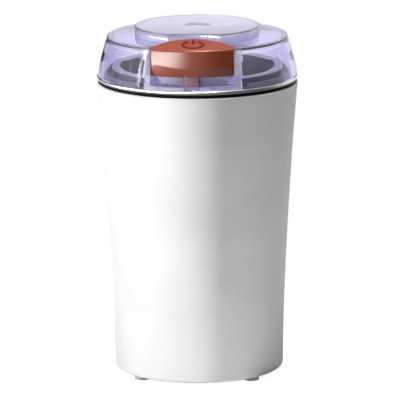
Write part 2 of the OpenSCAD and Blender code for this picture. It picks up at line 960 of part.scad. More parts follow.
module interlock_rod() {
    color(IRON) {
        slab(-head_w / 2, head_w / 2, -head_out_y, -head_in_y, head_z, head_top);
        slab(-rod_w / 2, rod_w / 2, -head_out_y, -rod_in_y, head_z - rod_neck, head_z + eps);
        slab(-rod_w / 2, rod_w / 2, -rod_out_y, -rod_in_y, rod_foot_z, head_z);
        intersection() {
            slab(-rod_w / 2, ear_x, -far, -rod_in_y, ear_z, ear_z + ear_t);
            ring(inner_r(ear_z - button_travel) - slide_gap, rod_in_y, ear_z, ear_z + ear_t);
        }
        slab(-rod_w / 2, rod_w / 2, -rod_out_y, -nub_in_y, rod_foot_z, rod_foot_z + rod_foot_t);
        slab(-nub_w / 2, nub_w / 2, -nub_out_y, -nub_in_y,
             rod_foot_z - nub_h, rod_foot_z + eps);
    }
}

module rod_spring() {
    color(ZINC) translate([rod_spring_x, rod_spring_y, 0])
        coil_spring(rod_spring_r, rod_spring_wire, shelf_top + seat_gap, ear_z - seat_gap, rod_spring_turns);
}

module microswitch() {
    color(BLACK) difference() {
        union() {
            slab(switch_x - switch_w / 2, switch_x + switch_w / 2, -switch_out_y, -switch_in_y,
                 switch_z, switch_top);
            for (x = [-terminal_at, 0, terminal_at])
                slab(switch_x + x - terminal_half_x, switch_x + x + terminal_half_x,
                     switch_mid_y - terminal_half_y, switch_mid_y + terminal_half_y,
                     switch_z - terminal_l, switch_z + sink);
        }
        translate([lever_x - plunger_x, switch_mid_y, switch_top - plunger_room])
            cylinder(r = plunger_r + run_gap, h = plunger_room + over, $fn = small_fn);
        translate([lever_x, switch_mid_y, switch_top + pivot_up])
            rotate([90, 0, 0])
                cylinder(r = pivot_r + pivot_room, h = lever_w + pivot_room, center = true, $fn = small_fn);
        for (x = [-1, 1])
            translate([switch_x + x * switch_hole_x, 0, switch_z + switch_hole_z])
                rotate([90, 0, 0]) cylinder(r = switch_screw_r + screw_gap, h = far, $fn = small_fn);
    }
}

module switch_screws() {
    color(ZINC)
        for (x = [-1, 1])
            translate([switch_x + x * switch_hole_x, 0, switch_z + switch_hole_z]) {
                translate([0, -switch_out_y - touch_gap, 0])
                    rotate([90, 0, 0]) cylinder(r = switch_head_r, h = switch_head_t, $fn = small_fn);
                translate([0, -switch_in_y + tongue_t - slide_gap, 0])
                    rotate([90, 0, 0]) cylinder(r = switch_screw_r, h = switch_d + tongue_t, $fn = small_fn);
            }
}

module switch_lever() {
    color(STEEL)
        translate([lever_x, switch_mid_y, switch_top + pivot_up])
            rotate([0, lever_rest, 0]) {
                slab(-lever_reach, 0, -lever_w / 2, lever_w / 2, -lever_t / 2, lever_t / 2);
                rotate([90, 0, 0]) cylinder(r = pivot_r, h = lever_w, center = true, $fn = small_fn);
            }
}

module switch_plunger() {
    color(TERRACOTTA) translate([lever_x - plunger_x, switch_mid_y, switch_top - plunger_drop])
        cylinder(r = plunger_r, h = plunger_top - switch_top + plunger_drop, $fn = small_fn);
}

// ---- motor ----

module motor_dampers() {
    color(RUBBER)
        for (a = boss_angles)
            rotate([0, 0, a]) translate([boss_at, 0, 0])
                ring_small(boss_r, mount_screw_r + face_gap,
                           upper_top + touch_gap, well_z - boss_h - touch_gap);
}

module ring_small(r_out, r_in, z0, z1) {
    difference() {
        translate([0, 0, z0]) cylinder(r = r_out, h = z1 - z0, $fn = small_fn);
        translate([0, 0, z0 - over]) cylinder(r = r_in, h = z1 - z0 + 2 * over, $fn = small_fn);
    }
}

module motor_mount_screws() {
    color(ZINC)
        for (a = boss_angles)
            rotate([0, 0, a]) {
                post(mount_head_r, boss_at, 0, upper_z - mount_head_t, upper_z - touch_gap);
                post(mount_screw_r, boss_at, 0, upper_z - sink, well_z - over);
            }
}

module bracket_legs(z0, z1) {
    for (s = [-1, 1])
        slab(-leg_w / 2, leg_w / 2, s > 0 ? leg_at - leg_t : -leg_at, s > 0 ? leg_at : -leg_at + leg_t,
             z0, z1);
}

module bolt_holes(gap) {
    for (s = [-1, 1])
        post(bolt_r + gap, 0, s * bolt_at, 0, well_z);
}

module upper_bracket() {
    color(ZINC) difference() {
        union() {
            translate([0, 0, upper_z]) cylinder(r = bracket_r, h = bracket_t);
            translate([0, 0, upper_z - cup_over])
                cylinder(r = bearing_d / 2 + cup_wall, h = bracket_t + 2 * cup_over);
            bracket_legs(core_top + touch_gap, upper_z + eps);
        }
        translate([0, 0, core_top]) cylinder(r = bearing_d / 2 + screw_gap, h = far);
        bolt_holes(face_gap);
        for (a = boss_angles)
            rotate([0, 0, a]) post(mount_screw_r + nest_gap, boss_at, 0, upper_z - over, upper_top + over);
        for (a = boss_angles)
            rotate([0, 0, a + vent_hole_turn])
                post(vent_hole_r, vent_hole_at, 0, upper_z - over, upper_top + over);
    }
}

module lower_bracket() {
    color(ZINC) difference() {
        union() {
            translate([0, 0, lower_z]) linear_extrude(bracket_t) intersection() {
                circle(r = stator_d / 2);
                union() {
                    square([arm_w, far], center = true);
                    square([far, arm_w], center = true);
                }
            }
            translate([0, 0, lower_z - lower_cup])
                cylinder(r = bearing_d / 2 + cup_wall, h = bracket_t + lower_cup);
            bracket_legs(lower_top - eps, core_z - touch_gap);
            for (s = [-1, 1])
                slab(s * holder_mid - pedestal_half, s * holder_mid + pedestal_half,
                     -holder_w / 2, holder_w / 2, lower_top - eps, brush_z - holder_w / 2 - touch_gap);
        }
        translate([0, 0, shaft_z]) cylinder(r = bearing_d / 2 + screw_gap, h = far);
        bolt_holes(face_gap);
    }
}

module motor_bolts() {
    color(ZINC)
        for (s = [-1, 1]) {
            post(bolt_r, 0, s * bolt_at, lower_z - bolt_nut_t - bolt_end, upper_top + sink);
            post(bolt_head_r, 0, s * bolt_at, upper_top + touch_gap, upper_top + bolt_head_t);
            translate([0, s * bolt_at, lower_z - bolt_nut_t])
                cylinder(r = bolt_nut_r, h = bolt_nut_t - touch_gap, $fn = 6);
        }
}

module bearing(z0) {
    color(STEEL) difference() {
        translate([0, 0, z0]) cylinder(d = bearing_d, h = bearing_h);
        translate([0, 0, z0 - over]) cylinder(r = shaft_r + run_gap, h = bearing_h + 2 * over);
        for (z = [z0 - bearing_groove, z0 + bearing_h - bearing_groove])
            ring(bearing_d / 2 - bearing_race, shaft_r + bearing_race, z, z + 2 * bearing_groove);
    }
}

module upper_bearing() {
    bearing(upper_z - cup_over + bearing_inset);
}

module lower_bearing() {
    bearing(lower_z - lower_cup + bearing_inset);
}

module stator_core() {
    color(IRON) difference() {
        translate([0, 0, core_z]) cylinder(d = stator_d, h = stator_h);
        translate([0, 0, core_z - over]) cylinder(r = bore_r, h = stator_h + 2 * over);
        intersection() {
            ring(yoke_r, slot_r, core_z - over, core_top + over);
            union() {
                slab(pole_half, far, -far, far, core_z - over, core_top + over);
                slab(-far, -pole_half, -far, far, core_z - over, core_top + over);
            }
        }
        slab(-slot_r - over, slot_r + over, -shoe_gap / 2, shoe_gap / 2, core_z - over, core_top + over);
        bolt_holes(face_gap);
    }
}

module field_coils() {
    color(COPPER)
        for (s = [-1, 1])
            difference() {
                intersection() {
                    ring(yoke_r - coil_gap, slot_r + coil_gap, core_z - coil_over, core_top + coil_over);
                    slab(-far, far, s > 0 ? coil_split : -far, s > 0 ? far : -coil_split,
                         comm_z, upper_z);
                }
                slab(-pole_half - coil_gap, pole_half + coil_gap, -far, far,
                     core_z - coil_gap, core_top + coil_gap);
            }
}

module brush_holders() {
    color(BRASS)
        for (s = [-1, 1])
            rotate([0, 0, s > 0 ? 0 : 180]) difference() {
                slab(holder_x, holder_x + holder_l, -holder_w / 2, holder_w / 2,
                     brush_z - holder_w / 2, brush_z + holder_w / 2);
                slab(holder_x - over, holder_x + holder_l - holder_wall, -brush_room, brush_room,
                     brush_z - brush_room, brush_z + brush_room);
            }
}

module carbon_brushes() {
    color(BLACK)
        for (s = [-1, 1])
            rotate([0, 0, s > 0 ? 0 : 180])
                slab(brush_x, brush_x + brush_l, -brush_w / 2, brush_w / 2,
                     brush_z - brush_w / 2, brush_z + brush_w / 2);
}

module brush_springs() {
    start = brush_x + brush_l + seat_gap;
    end = holder_x + holder_l - holder_wall - seat_gap;
    color(ZINC)
        for (s = [-1, 1])
            rotate([0, 0, s > 0 ? 0 : 180])
                translate([start, 0, brush_z])
                    rotate([0, 90, 0])
                        coil_spring(brush_spring_r, brush_spring_wire, 0, end - start, brush_spring_turns);
}

// ---- rotor ----

module motor_shaft() {
    color(STEEL) difference() {
        translate([0, 0, shaft_z]) cylinder(r = shaft_r, h = shaft_top - shaft_z);
        translate([-far, shaft_r - shaft_flat, blade_z - blade_hub_over]) cube([far * 2, far, far]);
    }
}

module armature_core() {
    color(IRON) difference() {
        translate([0, 0, core_z]) cylinder(d = armature_d, h = stator_h);
        translate([0, 0, core_z - over]) cylinder(r = shaft_r + touch_gap, h = stator_h + 2 * over);
        for (i = [0:armature_slots - 1])
            rotate([0, 0, 360 / armature_slots * i])
                slab(armature_d / 2 - slot_depth, armature_d, -slot_w / 2, slot_w / 2,
                     core_z - over, core_top + over);
    }
}

module armature_winding() {
    head = armature_d / 2 - winding_in;
    full = winding_h + winding_cap;
    color(COPPER)
        for (up = [false, true])
            difference() {
                union() {
                    translate([0, 0, up ? core_top + touch_gap : core_z - touch_gap - winding_h])
                        cylinder(r = head, h = winding_h);
                    translate([0, 0, up ? core_top + sink : core_z - touch_gap - full])
                        cylinder(r = head - winding_cap, h = full - sink);
                }
                translate([0, 0, core_z - far]) cylinder(r = shaft_r + touch_gap, h = far * 2);
            }
}

module commutator() {
    color(COPPER) difference() {
        union() {
            translate([0, 0, comm_z]) cylinder(d = commutator_d, h = comm_top - comm_z);
            translate([0, 0, comm_top - riser]) cylinder(d = commutator_d + riser, h = riser);
        }
        translate([0, 0, comm_z - over]) cylinder(r = shaft_r + touch_gap, h = far);
        for (i = [0:bars - 1])
            rotate([0, 0, 360 / bars * i])
                slab(commutator_d / 2 - bar_gap_depth, commutator_d, -bar_gap / 2, bar_gap / 2,
                     comm_z - over, comm_top + over);
    }
}

module cooling_fan() {
    root_r = fan_hub_r - 2 * sink;
    color(WHITE) difference() {
        union() {
            translate([0, 0, fan_z]) cylinder(r = fan_hub_r, h = fan_h);
            translate([0, 0, fan_top - fan_disc_t]) cylinder(d = fan_d, h = fan_disc_t);
            for (i = [0:fan_blades - 1])
                rotate([0, 0, 360 / fan_blades * i + fan_blade_turn])
                    translate([root_r, 0, fan_z])
                    rotate([0, 0, fan_blade_lean])
                        cube([fan_d / 2 - root_r - fan_blade_t, fan_blade_t, fan_h - fan_disc_t / 2]);
        }
        translate([0, 0, fan_z - over]) cylinder(r = shaft_r + touch_gap, h = fan_h + 2 * over);
    }
}

module blade_arm() {
    tip = blade_l / 2;
    half = blade_w / 2;
    translate([0, 0, -blade_t / 2]) linear_extrude(blade_t)
        polygon([
            [0, -half], [tip - blade_sweep, -half + blade_cut], [tip, -half + blade_nose],
            [tip, half - blade_heel], [tip - blade_sweep, half - blade_heel / 3], [0, half]
        ]);
}

module blade() {
    color(STEEL) difference() {
        union() {
            for (s = [-1, 1])
                rotate([0, 0, s > 0 ? 0 : 180])
                    translate([0, 0, blade_z + blade_t / 2])
                    intersection() {
                        rotate([s * blade_tilt, -s * blade_tilt / 2, 0]) blade_arm();
                        slab(nut_r + face_gap, far, -far, far, -far, far);
                    }
            translate([0, 0, blade_z - blade_hub_over])
                cylinder(r = blade_hub_r, h = blade_t + 2 * blade_hub_over);
            translate([0, 0, blade_z - spacer_h]) cylinder(r = spacer_r, h = spacer_h);
        }
        cylinder(r = shaft_r + touch_gap, h = shaft_top);
    }
}

module blade_nut() {
    dome = nut_r * cos(30) - face_gap;
    color(STEEL) difference() {
        union() {
            translate([0, 0, nut_z]) cylinder(r = nut_r, h = nut_h, $fn = 6);
            translate([0, 0, nut_z + nut_h - eps])
                cylinder(r1 = dome, r2 = dome - nut_top_h, h = nut_top_h);
        }
        translate([0, 0, nut_z - over]) cylinder(r = shaft_r + touch_gap, h = nut_h - nut_roof / 2 + over);
    }
}

// ---- electrics ----

module circuit_board() {
    color(BOARD)
        slab(board_x - board_w / 2, board_x + board_w / 2, -board_l / 2, board_l / 2,
             board_z + touch_gap, board_z + board_t);
    color(BRASS)
        for (y = [-tab_block_at, tab_block_at])
            slab(board_x - tab_block_half_x, board_x + tab_block_half_x,
                 y - tab_block_half_y, y + tab_block_half_y,
                 board_z + board_t - eps, board_z + board_t + tab_block_h);
}

module capacitor() {
    color(YELLOW)
        slab(board_x - cap_w / 2, board_x + cap_w / 2, -cap_l / 2, cap_l / 2,
             board_z + board_t + touch_gap, board_z + board_t + cap_h);
}

module wire(points) {
    for (i = [0:len(points) - 2])
        let (a = points[i], b = points[i + 1], d = b - a, l = norm(d))
        translate(a)
            rotate([0, acos(d[2] / l), atan2(d[1], d[0])]) {
                cylinder(r = wire_r, h = l, $fn = small_fn);
                if (i > 0) sphere(r = wire_joint_r, $fn = small_fn);
            }
}

module lead_wires() {
    board_up = board_z + board_t + tab_block_h;
    low_y = max(switch_mid_y, wire_edge - inner_r(board_up));
    holder_end = holder_x + holder_l;
    terminal_z = switch_z - terminal_l - seat_gap;
    color(RED)
        wire([
            [switch_x - terminal_at, switch_mid_y, terminal_z],
            [switch_x - terminal_at, low_y, board_up + wire_lift],
            [board_x, -tab_block_at, board_up + wire_lift],
            [board_x, -tab_block_at, board_up + seat_gap]
        ]);
    color(BLUE)
        wire([
            [holder_end + wire_r + seat_gap, 0, brush_z],
            [holder_end + wire_bend, 0, brush_z],
            [holder_end + wire_bend, 0, brush_z + wire_lift],
            [switch_x + terminal_at, switch_mid_y + wire_lift / 2, brush_z + 2 * wire_lift],
            [switch_x + terminal_at, switch_mid_y, terminal_z - wire_lift],
            [switch_x + terminal_at, switch_mid_y, terminal_z]
        ]);
    color(RED)
        wire([
            [-holder_end - wire_r - seat_gap, 0, brush_z],
            [-holder_end - wire_bend, 0, brush_z],
            [-holder_end - wire_bend, 2 * wire_bend, brush_z - wire_lift],
            [board_x, tab_block_at, board_up + wire_lift],
            [board_x, tab_block_at, board_up + seat_gap]
        ]);
}

housing();
base_plate();
base_screws();
rubber_feet();
cord_grommet();
gasket_ring();
trim_ring();
bowl_carrier();
carrier_screws();
bowl();
shaft_seal();
lid_shell();
lid_crown();
button_springs();
button_cap();
interlock_rod();
rod_spring();
microswitch();
switch_screws();
switch_lever();
switch_plunger();
motor_dampers();
motor_mount_screws();
upper_bracket();
lower_bracket();
motor_bolts();
upper_bearing();
lower_bearing();
stator_core();
field_coils();
brush_holders();
carbon_brushes();
brush_springs();
motor_shaft();
armature_core();
armature_winding();
commutator();
cooling_fan();
blade();
blade_nut();
circuit_board();
capacitor();
lead_wires();
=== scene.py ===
"""The looks of the electric spice grinder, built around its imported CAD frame.

Lengths are in millimetres, and MM turns them into the frame's metres.
"""

import math

import bmesh
import bpy
from mathutils import Matrix, Vector


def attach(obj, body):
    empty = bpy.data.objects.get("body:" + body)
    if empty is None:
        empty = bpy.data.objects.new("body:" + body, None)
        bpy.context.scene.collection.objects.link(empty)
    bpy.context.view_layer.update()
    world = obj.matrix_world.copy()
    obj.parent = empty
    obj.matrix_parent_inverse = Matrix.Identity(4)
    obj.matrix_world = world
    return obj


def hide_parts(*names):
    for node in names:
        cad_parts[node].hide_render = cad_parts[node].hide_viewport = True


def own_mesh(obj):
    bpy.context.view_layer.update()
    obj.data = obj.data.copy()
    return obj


MM = 0.001
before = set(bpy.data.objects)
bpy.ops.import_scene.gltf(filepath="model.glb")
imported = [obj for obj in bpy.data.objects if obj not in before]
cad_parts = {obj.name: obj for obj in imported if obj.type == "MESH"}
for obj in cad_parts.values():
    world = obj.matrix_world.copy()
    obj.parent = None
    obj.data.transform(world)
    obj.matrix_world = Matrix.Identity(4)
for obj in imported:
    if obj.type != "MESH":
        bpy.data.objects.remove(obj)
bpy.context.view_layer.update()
scene = bpy.context.scene

# ---------------------------------------------------------------- sizes, after part.scad

# Housing: its height, its radius at the foot and the top, how its side curves, its wall, its
# bottom corner, and the cord's hole
BODY_H = 147.0
BASE_R = 42.0
TOP_R = 49.8
FLARE = 1.6
WALL = 2.2
BASE_FILLET = 2.2
CORD_HOLE_R = 5.15
CORD_Z = 15.0

# Feet: the housing's height off the table, the feet's radius, how far they go up past the
# housing's lower edge, and their places
FOOT_CLEAR = 2.1
FOOT_R = 3.9
FOOT_SEAT = 0.59
FOOT_AT = 35.76
FOOT_ANGLE = 40.5

# Gasket and steel ring
GASKET_Z = 147.0
RING_Z = 148.6
RING_TOP = 150.4
DECK_R = 47.19

# Lid: where its edge lies, its height, and how its side leans in and bulges
LID_Z = 150.5
LID_H = 19.9
LID_TOP = LID_Z + LID_H
LID_LEAN = 4.6
LID_BULGE = 1.35
LID_FILLET = 1.2
LID_WALL = 2.2
LID_ROOF = 2
SKIRT_EXTRA = 0.5
SKIRT_H = 7.5

# Crown: a disc with a bite, cut by a circle whose centre is in front of the lid
CROWN_R = 31.0
CROWN_TOP = 175.2
CROWN_WALL = 2.0
BITE_R = 45.0
BITE_Y = -71.3

# Button: front and back radius, half width, lowest and highest edges, and the slope of its top
BUTTON_R = 47.2
BUTTON_HALF = 20.15
BUTTON_Z = 156.8
BUTTON_BACK_Z = 160.9
BUTTON_TOP = 170.2
BACK_R = 26.0
BACK_Y = -55.5
TILT = math.radians(10)
SLOPE = math.tan(TILT)
NOTCH_GAP = 0.45
NOTCH_HALF = BUTTON_HALF + NOTCH_GAP

# The crease across the button's front, which dips in the middle, and the lean above it
CREASE_Z = 162.6
CREASE_DIP = 1.9
CREASE_HALF = 17
FRONT_LEAN = 0.35

# The button's tab, and the gap beside it in the lid's slot
TAB_HALF = 3.55
TAB_FRONT = -46.4
TAB_BACK = -44.0
TAB_FOOT = 151.8
TAB_GAP = 0.4

# Bowl, the rooms in the lid that clear its rim, and the step under the button
BOWL_R = 39.13
BOWL_FLOOR = 110.0
BEAD_AT = 41.925
BEAD_ROOM_R = BEAD_AT + 1.0
RIM_TOP = 155.3
SHELF_TOP = RIM_TOP + 1.7
POCKET_R = BEAD_AT + 2.2
STEP_R = POCKET_R + NOTCH_GAP
SURROUND_R = BACK_R + NOTCH_GAP + 1.8

# Springs: coil radius, wire radius, foot, top and turns, and how far the button goes down
SPRING_X = 10
SPRING_Y = -37.35
BUTTON_COIL = (2.1, 0.3, 158.29, 169.51, 6)
ROD_SPRING_AT = (5.9, -42.82)
ROD_COIL = (1.35, 0.25, 112.48, 122.31, 7)
PRESS = 3.5


def outer_r(z):
    """The housing's outer radius at a height."""
    return BASE_R + (TOP_R - BASE_R) * (max(z, 0) / BODY_H) ** FLARE


def lid_r(h):
    """The lid's outer radius at a height above its lower edge."""
    side = LID_H - LID_FILLET
    return TOP_R - 0.2 - LID_LEAN * (min(h, side) / side) ** LID_BULGE


# ---------------------------------------------------------------- mesh helpers


def add_object(name, bm, sharp=32):
    """A new object from a bmesh in millimetres, smooth but for edges sharper than that angle."""
    bmesh.ops.scale(bm, vec=(MM, MM, MM), verts=bm.verts)
    bmesh.ops.recalc_face_normals(bm, faces=bm.faces)
    mesh = bpy.data.meshes.new(name)
    bm.to_mesh(mesh)
    bm.free()
    obj = bpy.data.objects.new(name, mesh)
    scene.collection.objects.link(obj)
    soften(obj, sharp)
    return obj


def soften(obj, sharp=32):
    """Marks faces smooth and the edges sharper than an angle sharp."""
    bm = bmesh.new()
    bm.from_mesh(obj.data)
    limit = math.radians(sharp)
    for face in bm.faces:
        face.smooth = True
    for edge in bm.edges:
        edge.smooth = not (len(edge.link_faces) == 2 and edge.calc_face_angle(0) > limit)
    bm.to_mesh(obj.data)
    bm.free()


def apply_modifiers(obj):
    graph = bpy.context.evaluated_depsgraph_get()
    graph.update()
    mesh = bpy.data.meshes.new_from_object(obj.evaluated_get(graph))
    old = obj.data
    obj.modifiers.clear()
    obj.data = mesh
    bpy.data.meshes.remove(old)


def combine(obj, other, operation):
    """obj becomes its union with, difference from or intersection with other, which goes."""
    modifier = obj.modifiers.new("combine", "BOOLEAN")
    modifier.operation = operation
    modifier.object = other
    modifier.solver = "EXACT"
    apply_modifiers(obj)
    bpy.data.objects.remove(other)
    clean(obj)


def clean(obj, distance=0.002):
    """Joins vertices that all but touch and takes out faces of no size."""
    bm = bmesh.new()
    bm.from_mesh(obj.data)
    bmesh.ops.remove_doubles(bm, verts=bm.verts, dist=distance * MM)
    bmesh.ops.dissolve_degenerate(bm, dist=distance * MM / 2, edges=bm.edges)
    bm.to_mesh(obj.data)
    bm.free()


def bevel(obj, width, sharp=40, segments=2):
    modifier = obj.modifiers.new("bevel", "BEVEL")
    modifier.width = width * MM
    modifier.segments = segments
    modifier.limit_method = "ANGLE"
    modifier.angle_limit = math.radians(sharp)
    modifier.use_clamp_overlap = True
    apply_modifiers(obj)


def rounded(points, steps=4):
    """An outline of (x, y, fillet) corners as plain points, each corner with its fillet."""
    out = []
    for i, (x, y, fillet) in enumerate(points):
        if not fillet:
            out.append((x, y))
            continue
        corner = Vector((x, y))
        before = (Vector(points[i - 1][:2]) - corner).normalized()
        after = (Vector(points[(i + 1) % len(points)][:2]) - corner).normalized()
        half = before.angle(after) / 2
        centre = corner + (before + after).normalized() * (fillet / math.sin(half))
        start = corner + before * (fillet / math.tan(half)) - centre
        end = corner + after * (fillet / math.tan(half)) - centre
        for k in range(steps + 1):
            spoke = start.slerp(end, k / steps) if start.angle(end) > 1e-4 else start
            out.append(tuple(centre + spoke.normalized() * fillet))
    return out


def arc(x, z, r, start, end, steps):
    """Points along a circle's arc, from one angle in degrees to another."""
    turns = [math.radians(start + (end - start) * i / steps) for i in range(steps + 1)]
    return [(x + r * math.cos(a), z + r * math.sin(a)) for a in turns]


def lathe(name, profile, steps=144, centre=(0, 0), sharp=32):
    """A closed outline of (radius, z) points turned round a vertical axis."""
    bm = bmesh.new()
    rings = []
    for r, z in profile:
        if r < 1e-6:
            rings.append([bm.verts.new((centre[0], centre[1], z))])
            continue
        rings.append([
            bm.verts.new((
                centre[0] + r * math.cos(2 * math.pi * i / steps),
                centre[1] + r * math.sin(2 * math.pi * i / steps),
                z,
            ))
            for i in range(steps)
        ])
    for a, b in zip(rings, rings[1:] + rings[:1]):
        for i in range(steps):
            j = (i + 1) % steps
            loop = [a[i % len(a)], a[j % len(a)], b[j % len(b)], b[i % len(b)]]
            loop = list(dict.fromkeys(loop))
            if len(loop) >= 3:
                bm.faces.new(loop)
    return add_object(name, bm, sharp)


def loft(name, rings, sharp=32):
    """Closed rings of (x, y, z) points joined one to the next, with flat ends."""
    bm = bmesh.new()
    loops = [[bm.verts.new(p) for p in ring] for ring in rings]
    for a, b in zip(loops, loops[1:]):
        for i in range(len(a)):
            j = (i + 1) % len(a)
            bm.faces.new([a[i], a[j], b[j], b[i]])
    bm.faces.new(loops[0][::-1])
    bm.faces.new(loops[-1])
    return add_object(name, bm, sharp)


def prism(name, outline, z0, z1):
    """An outline of (x, y) points raised from z0 to z1."""
    return loft(name, [[(x, y, z) for x, y in outline] for z in (z0, z1)])


def block(name, x0, x1, y0, y1, z0, z1):
    return prism(name, [(x0, y0), (x1, y0), (x1, y1), (x0, y1)], z0, z1)


def round_bar(name, centre, r, z0, z1, edge=0.2, steps=40):
    """An upright pin with rounded edges."""
    profile = rounded([(0, z0, 0), (r, z0, edge), (r, z1, edge), (0, z1, 0)])
    return lathe(name, profile, steps, centre)


def piece(obj, body, slot, material, *nodes):
    """Gives a piece its body and its material, and hides the CAD nodes that it stands for; slot is not
    used.
    """
    obj.data.materials.clear()
    obj.data.materials.append(material)
    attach(obj, body)
    if nodes:
        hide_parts(*nodes)
    return obj


def paint(obj, others, choose):
    """Adds materials to a piece, and gives each face the one that choose(face) returns."""
    for material in others:
        obj.data.materials.append(material)
    order = list(obj.data.materials)
    for face in obj.data.polygons:
        face.material_index = order.index(choose(face))


# ---------------------------------------------------------------- materials


def new_material(name):
    material = bpy.data.materials.new(name)
    material.use_nodes = True
    nodes, links = material.node_tree.nodes, material.node_tree.links
    return material, nodes, links, nodes["Principled BSDF"]


def coordinates(nodes, links, scale=(1, 1, 1)):
    """The piece's own coordinates in metres, scaled along each axis."""
    place = nodes.new("ShaderNodeTexCoord")
    mapping = nodes.new("ShaderNodeMapping")
    mapping.inputs["Scale"].default_value = scale
    links.new(place.outputs["Object"], mapping.inputs["Vector"])
    return mapping.outputs["Vector"]


def noise(nodes, links, vector, scale, detail=3.0, rough=0.5):
    texture = nodes.new("ShaderNodeTexNoise")
    texture.inputs["Scale"].default_value = scale
    texture.inputs["Detail"].default_value = detail
    texture.inputs["Roughness"].default_value = rough
    links.new(vector, texture.inputs["Vector"])
    return texture.outputs["Fac"]


def spread(nodes, links, value, low, high, start=0.3, end=0.7):
    """A value mapped from start and end to low and high."""
    span = nodes.new("ShaderNodeMapRange")
    span.inputs["From Min"].default_value = start
    span.inputs["From Max"].default_value = end
    span.inputs["To Min"].default_value = low
    span.inputs["To Max"].default_value = high
    links.new(value, span.inputs["Value"])
    return span.outputs["Result"]


def tint(nodes, links, value, dark, light):
    """A colour that runs between two as the value goes from 0.3 to 0.7."""
    mix = nodes.new("ShaderNodeMix")
    mix.data_type = "RGBA"
    mix.inputs["A"].default_value = (*dark, 1)
    mix.inputs["B"].default_value = (*light, 1)
    links.new(spread(nodes, links, value, 0, 1), mix.inputs["Factor"])
    return mix.outputs["Result"]


def bump(nodes, links, shader, height, strength, distance):
    relief = nodes.new("ShaderNodeBump")
    relief.inputs["Strength"].default_value = strength
    relief.inputs["Distance"].default_value = distance
    links.new(height, relief.inputs["Height"])
    links.new(relief.outputs["Normal"], shader.inputs["Normal"])


def shade_of(colour, factor):
    return tuple(min(1.0, c * factor) for c in colour)


def plastic(
    name, colour, roughness, grain=0.00002, variation=0.04, coat=0.0, specular=0.5, gloss=0.15
):
    """Moulded plastic: fine skin texture, slight change of colour and gloss."""
    material, nodes, links, shader = new_material(name)
    vector = coordinates(nodes, links)
    broad = noise(nodes, links, vector, 30)
    fine = noise(nodes, links, vector, 2600, 2)
    links.new(
        tint(nodes, links, broad, shade_of(colour, 1 - variation), shade_of(colour, 1 + variation)),
        shader.inputs["Base Color"],
    )
    links.new(
        spread(nodes, links, fine, roughness * 0.92, roughness * 1.08),
        shader.inputs["Roughness"],
    )
    shader.inputs["Coat Weight"].default_value = coat
    shader.inputs["Coat Roughness"].default_value = gloss
    shader.inputs["Specular IOR Level"].default_value = specular
    bump(nodes, links, shader, fine, 0.25, grain)
    return material


def metal(name, colour, roughness, along=(1, 1, 1), scale=900, variation=0.08, anisotropy=0.0):
    """Metal with fine lines left by its finishing, drawn out along the axes with small factors."""
    material, nodes, links, shader = new_material(name)
    vector = coordinates(nodes, links, along)
    lines = noise(nodes, links, vector, scale, 4, 0.6)
    links.new(
        tint(nodes, links, lines, shade_of(colour, 1 - variation), shade_of(colour, 1 + variation)),
        shader.inputs["Base Color"],
    )
    links.new(
        spread(nodes, links, lines, roughness * 0.8, roughness * 1.2), shader.inputs["Roughness"]
    )
    shader.inputs["Metallic"].default_value = 1.0
    shader.inputs["Anisotropic"].default_value = anisotropy
    bump(nodes, links, shader, lines, 0.2, 0.00001)
    return material


def clear_plastic(name, colour, edge_colour, roughness, let_through, clear_share=1.0):
    """Tinted acrylic that lamps shine through, deeper in colour where it turns away."""
    material, nodes, links, shader = new_material(name)
    turned = nodes.new("ShaderNodeLayerWeight")
    turned.inputs["Blend"].default_value = 0.5
    deepen = nodes.new("ShaderNodeMix")
    deepen.data_type = "RGBA"
    deepen.inputs["A"].default_value = (*colour, 1)
    deepen.inputs["B"].default_value = (*edge_colour, 1)
    facing = spread(nodes, links, turned.outputs["Facing"], 0, 1, 0.25, 0.95)
    links.new(facing, deepen.inputs["Factor"])
    links.new(deepen.outputs["Result"], shader.inputs["Base Color"])
    shader.inputs["Transmission Weight"].default_value = clear_share
    shader.inputs["IOR"].default_value = 1.45
    vector = coordinates(nodes, links)
    ripple = noise(nodes, links, vector, 90, 2)
    links.new(
        spread(nodes, links, ripple, roughness * 0.7, roughness * 1.3), shader.inputs["Roughness"]
    )
    bump(nodes, links, shader, ripple, 0.15, 0.0002)
    path = nodes.new("ShaderNodeLightPath")
    clear = nodes.new("ShaderNodeBsdfTransparent")
    clear.inputs["Color"].default_value = (*let_through, 1)
    mix = nodes.new("ShaderNodeMixShader")
    links.new(path.outputs["Is Shadow Ray"], mix.inputs["Fac"])
    links.new(shader.outputs["BSDF"], mix.inputs[1])
    links.new(clear.outputs["BSDF"], mix.inputs[2])
    links.new(mix.outputs["Shader"], nodes["Material Output"].inputs["Surface"])
    return material


WHITE = plastic("white_satin_plastic", (0.86, 0.86, 0.86), 0.42, specular=0.35)
DARK = plastic("black_moulded_plastic", (0.045, 0.045, 0.05), 0.42)
CARRIER = plastic("grey_moulded_carrier", (0.10, 0.095, 0.11), 0.42)
GLOSS_BLACK = plastic("black_glossy_gasket", (0.004, 0.004, 0.004), 0.5, specular=0.03)
RUBBER = plastic("grey_foot_rubber", (0.55, 0.55, 0.55), 0.6)
SEAL = plastic("black_rubber", (0.03, 0.03, 0.03), 0.65)
TRIM = metal("brushed_trim_steel", (0.80, 0.80, 0.80), 0.24, (1, 1, 40), 500, anisotropy=0.5)
# Painted shade: a dark copy of the trim steel, for the ring's lower half
TRIM_PAINTED_SHADE = metal("painted_shade_trim_steel", (0.22, 0.22, 0.22), 0.3, (1, 1, 40), 500, anisotropy=0.5)
BOWL = metal("spun_bowl_steel", (0.50, 0.50, 0.51), 0.34, (1, 1, 12), 700)
BLADE = metal("ground_blade_steel", (0.66, 0.66, 0.67), 0.25, (0.08, 1, 1), 1800)
CLEAR = clear_plastic(
    "clear_lavender_acrylic", (0.85, 0.83, 0.98), (0.42, 0.36, 0.90), 0.03, (0.86, 0.84, 0.97)
)
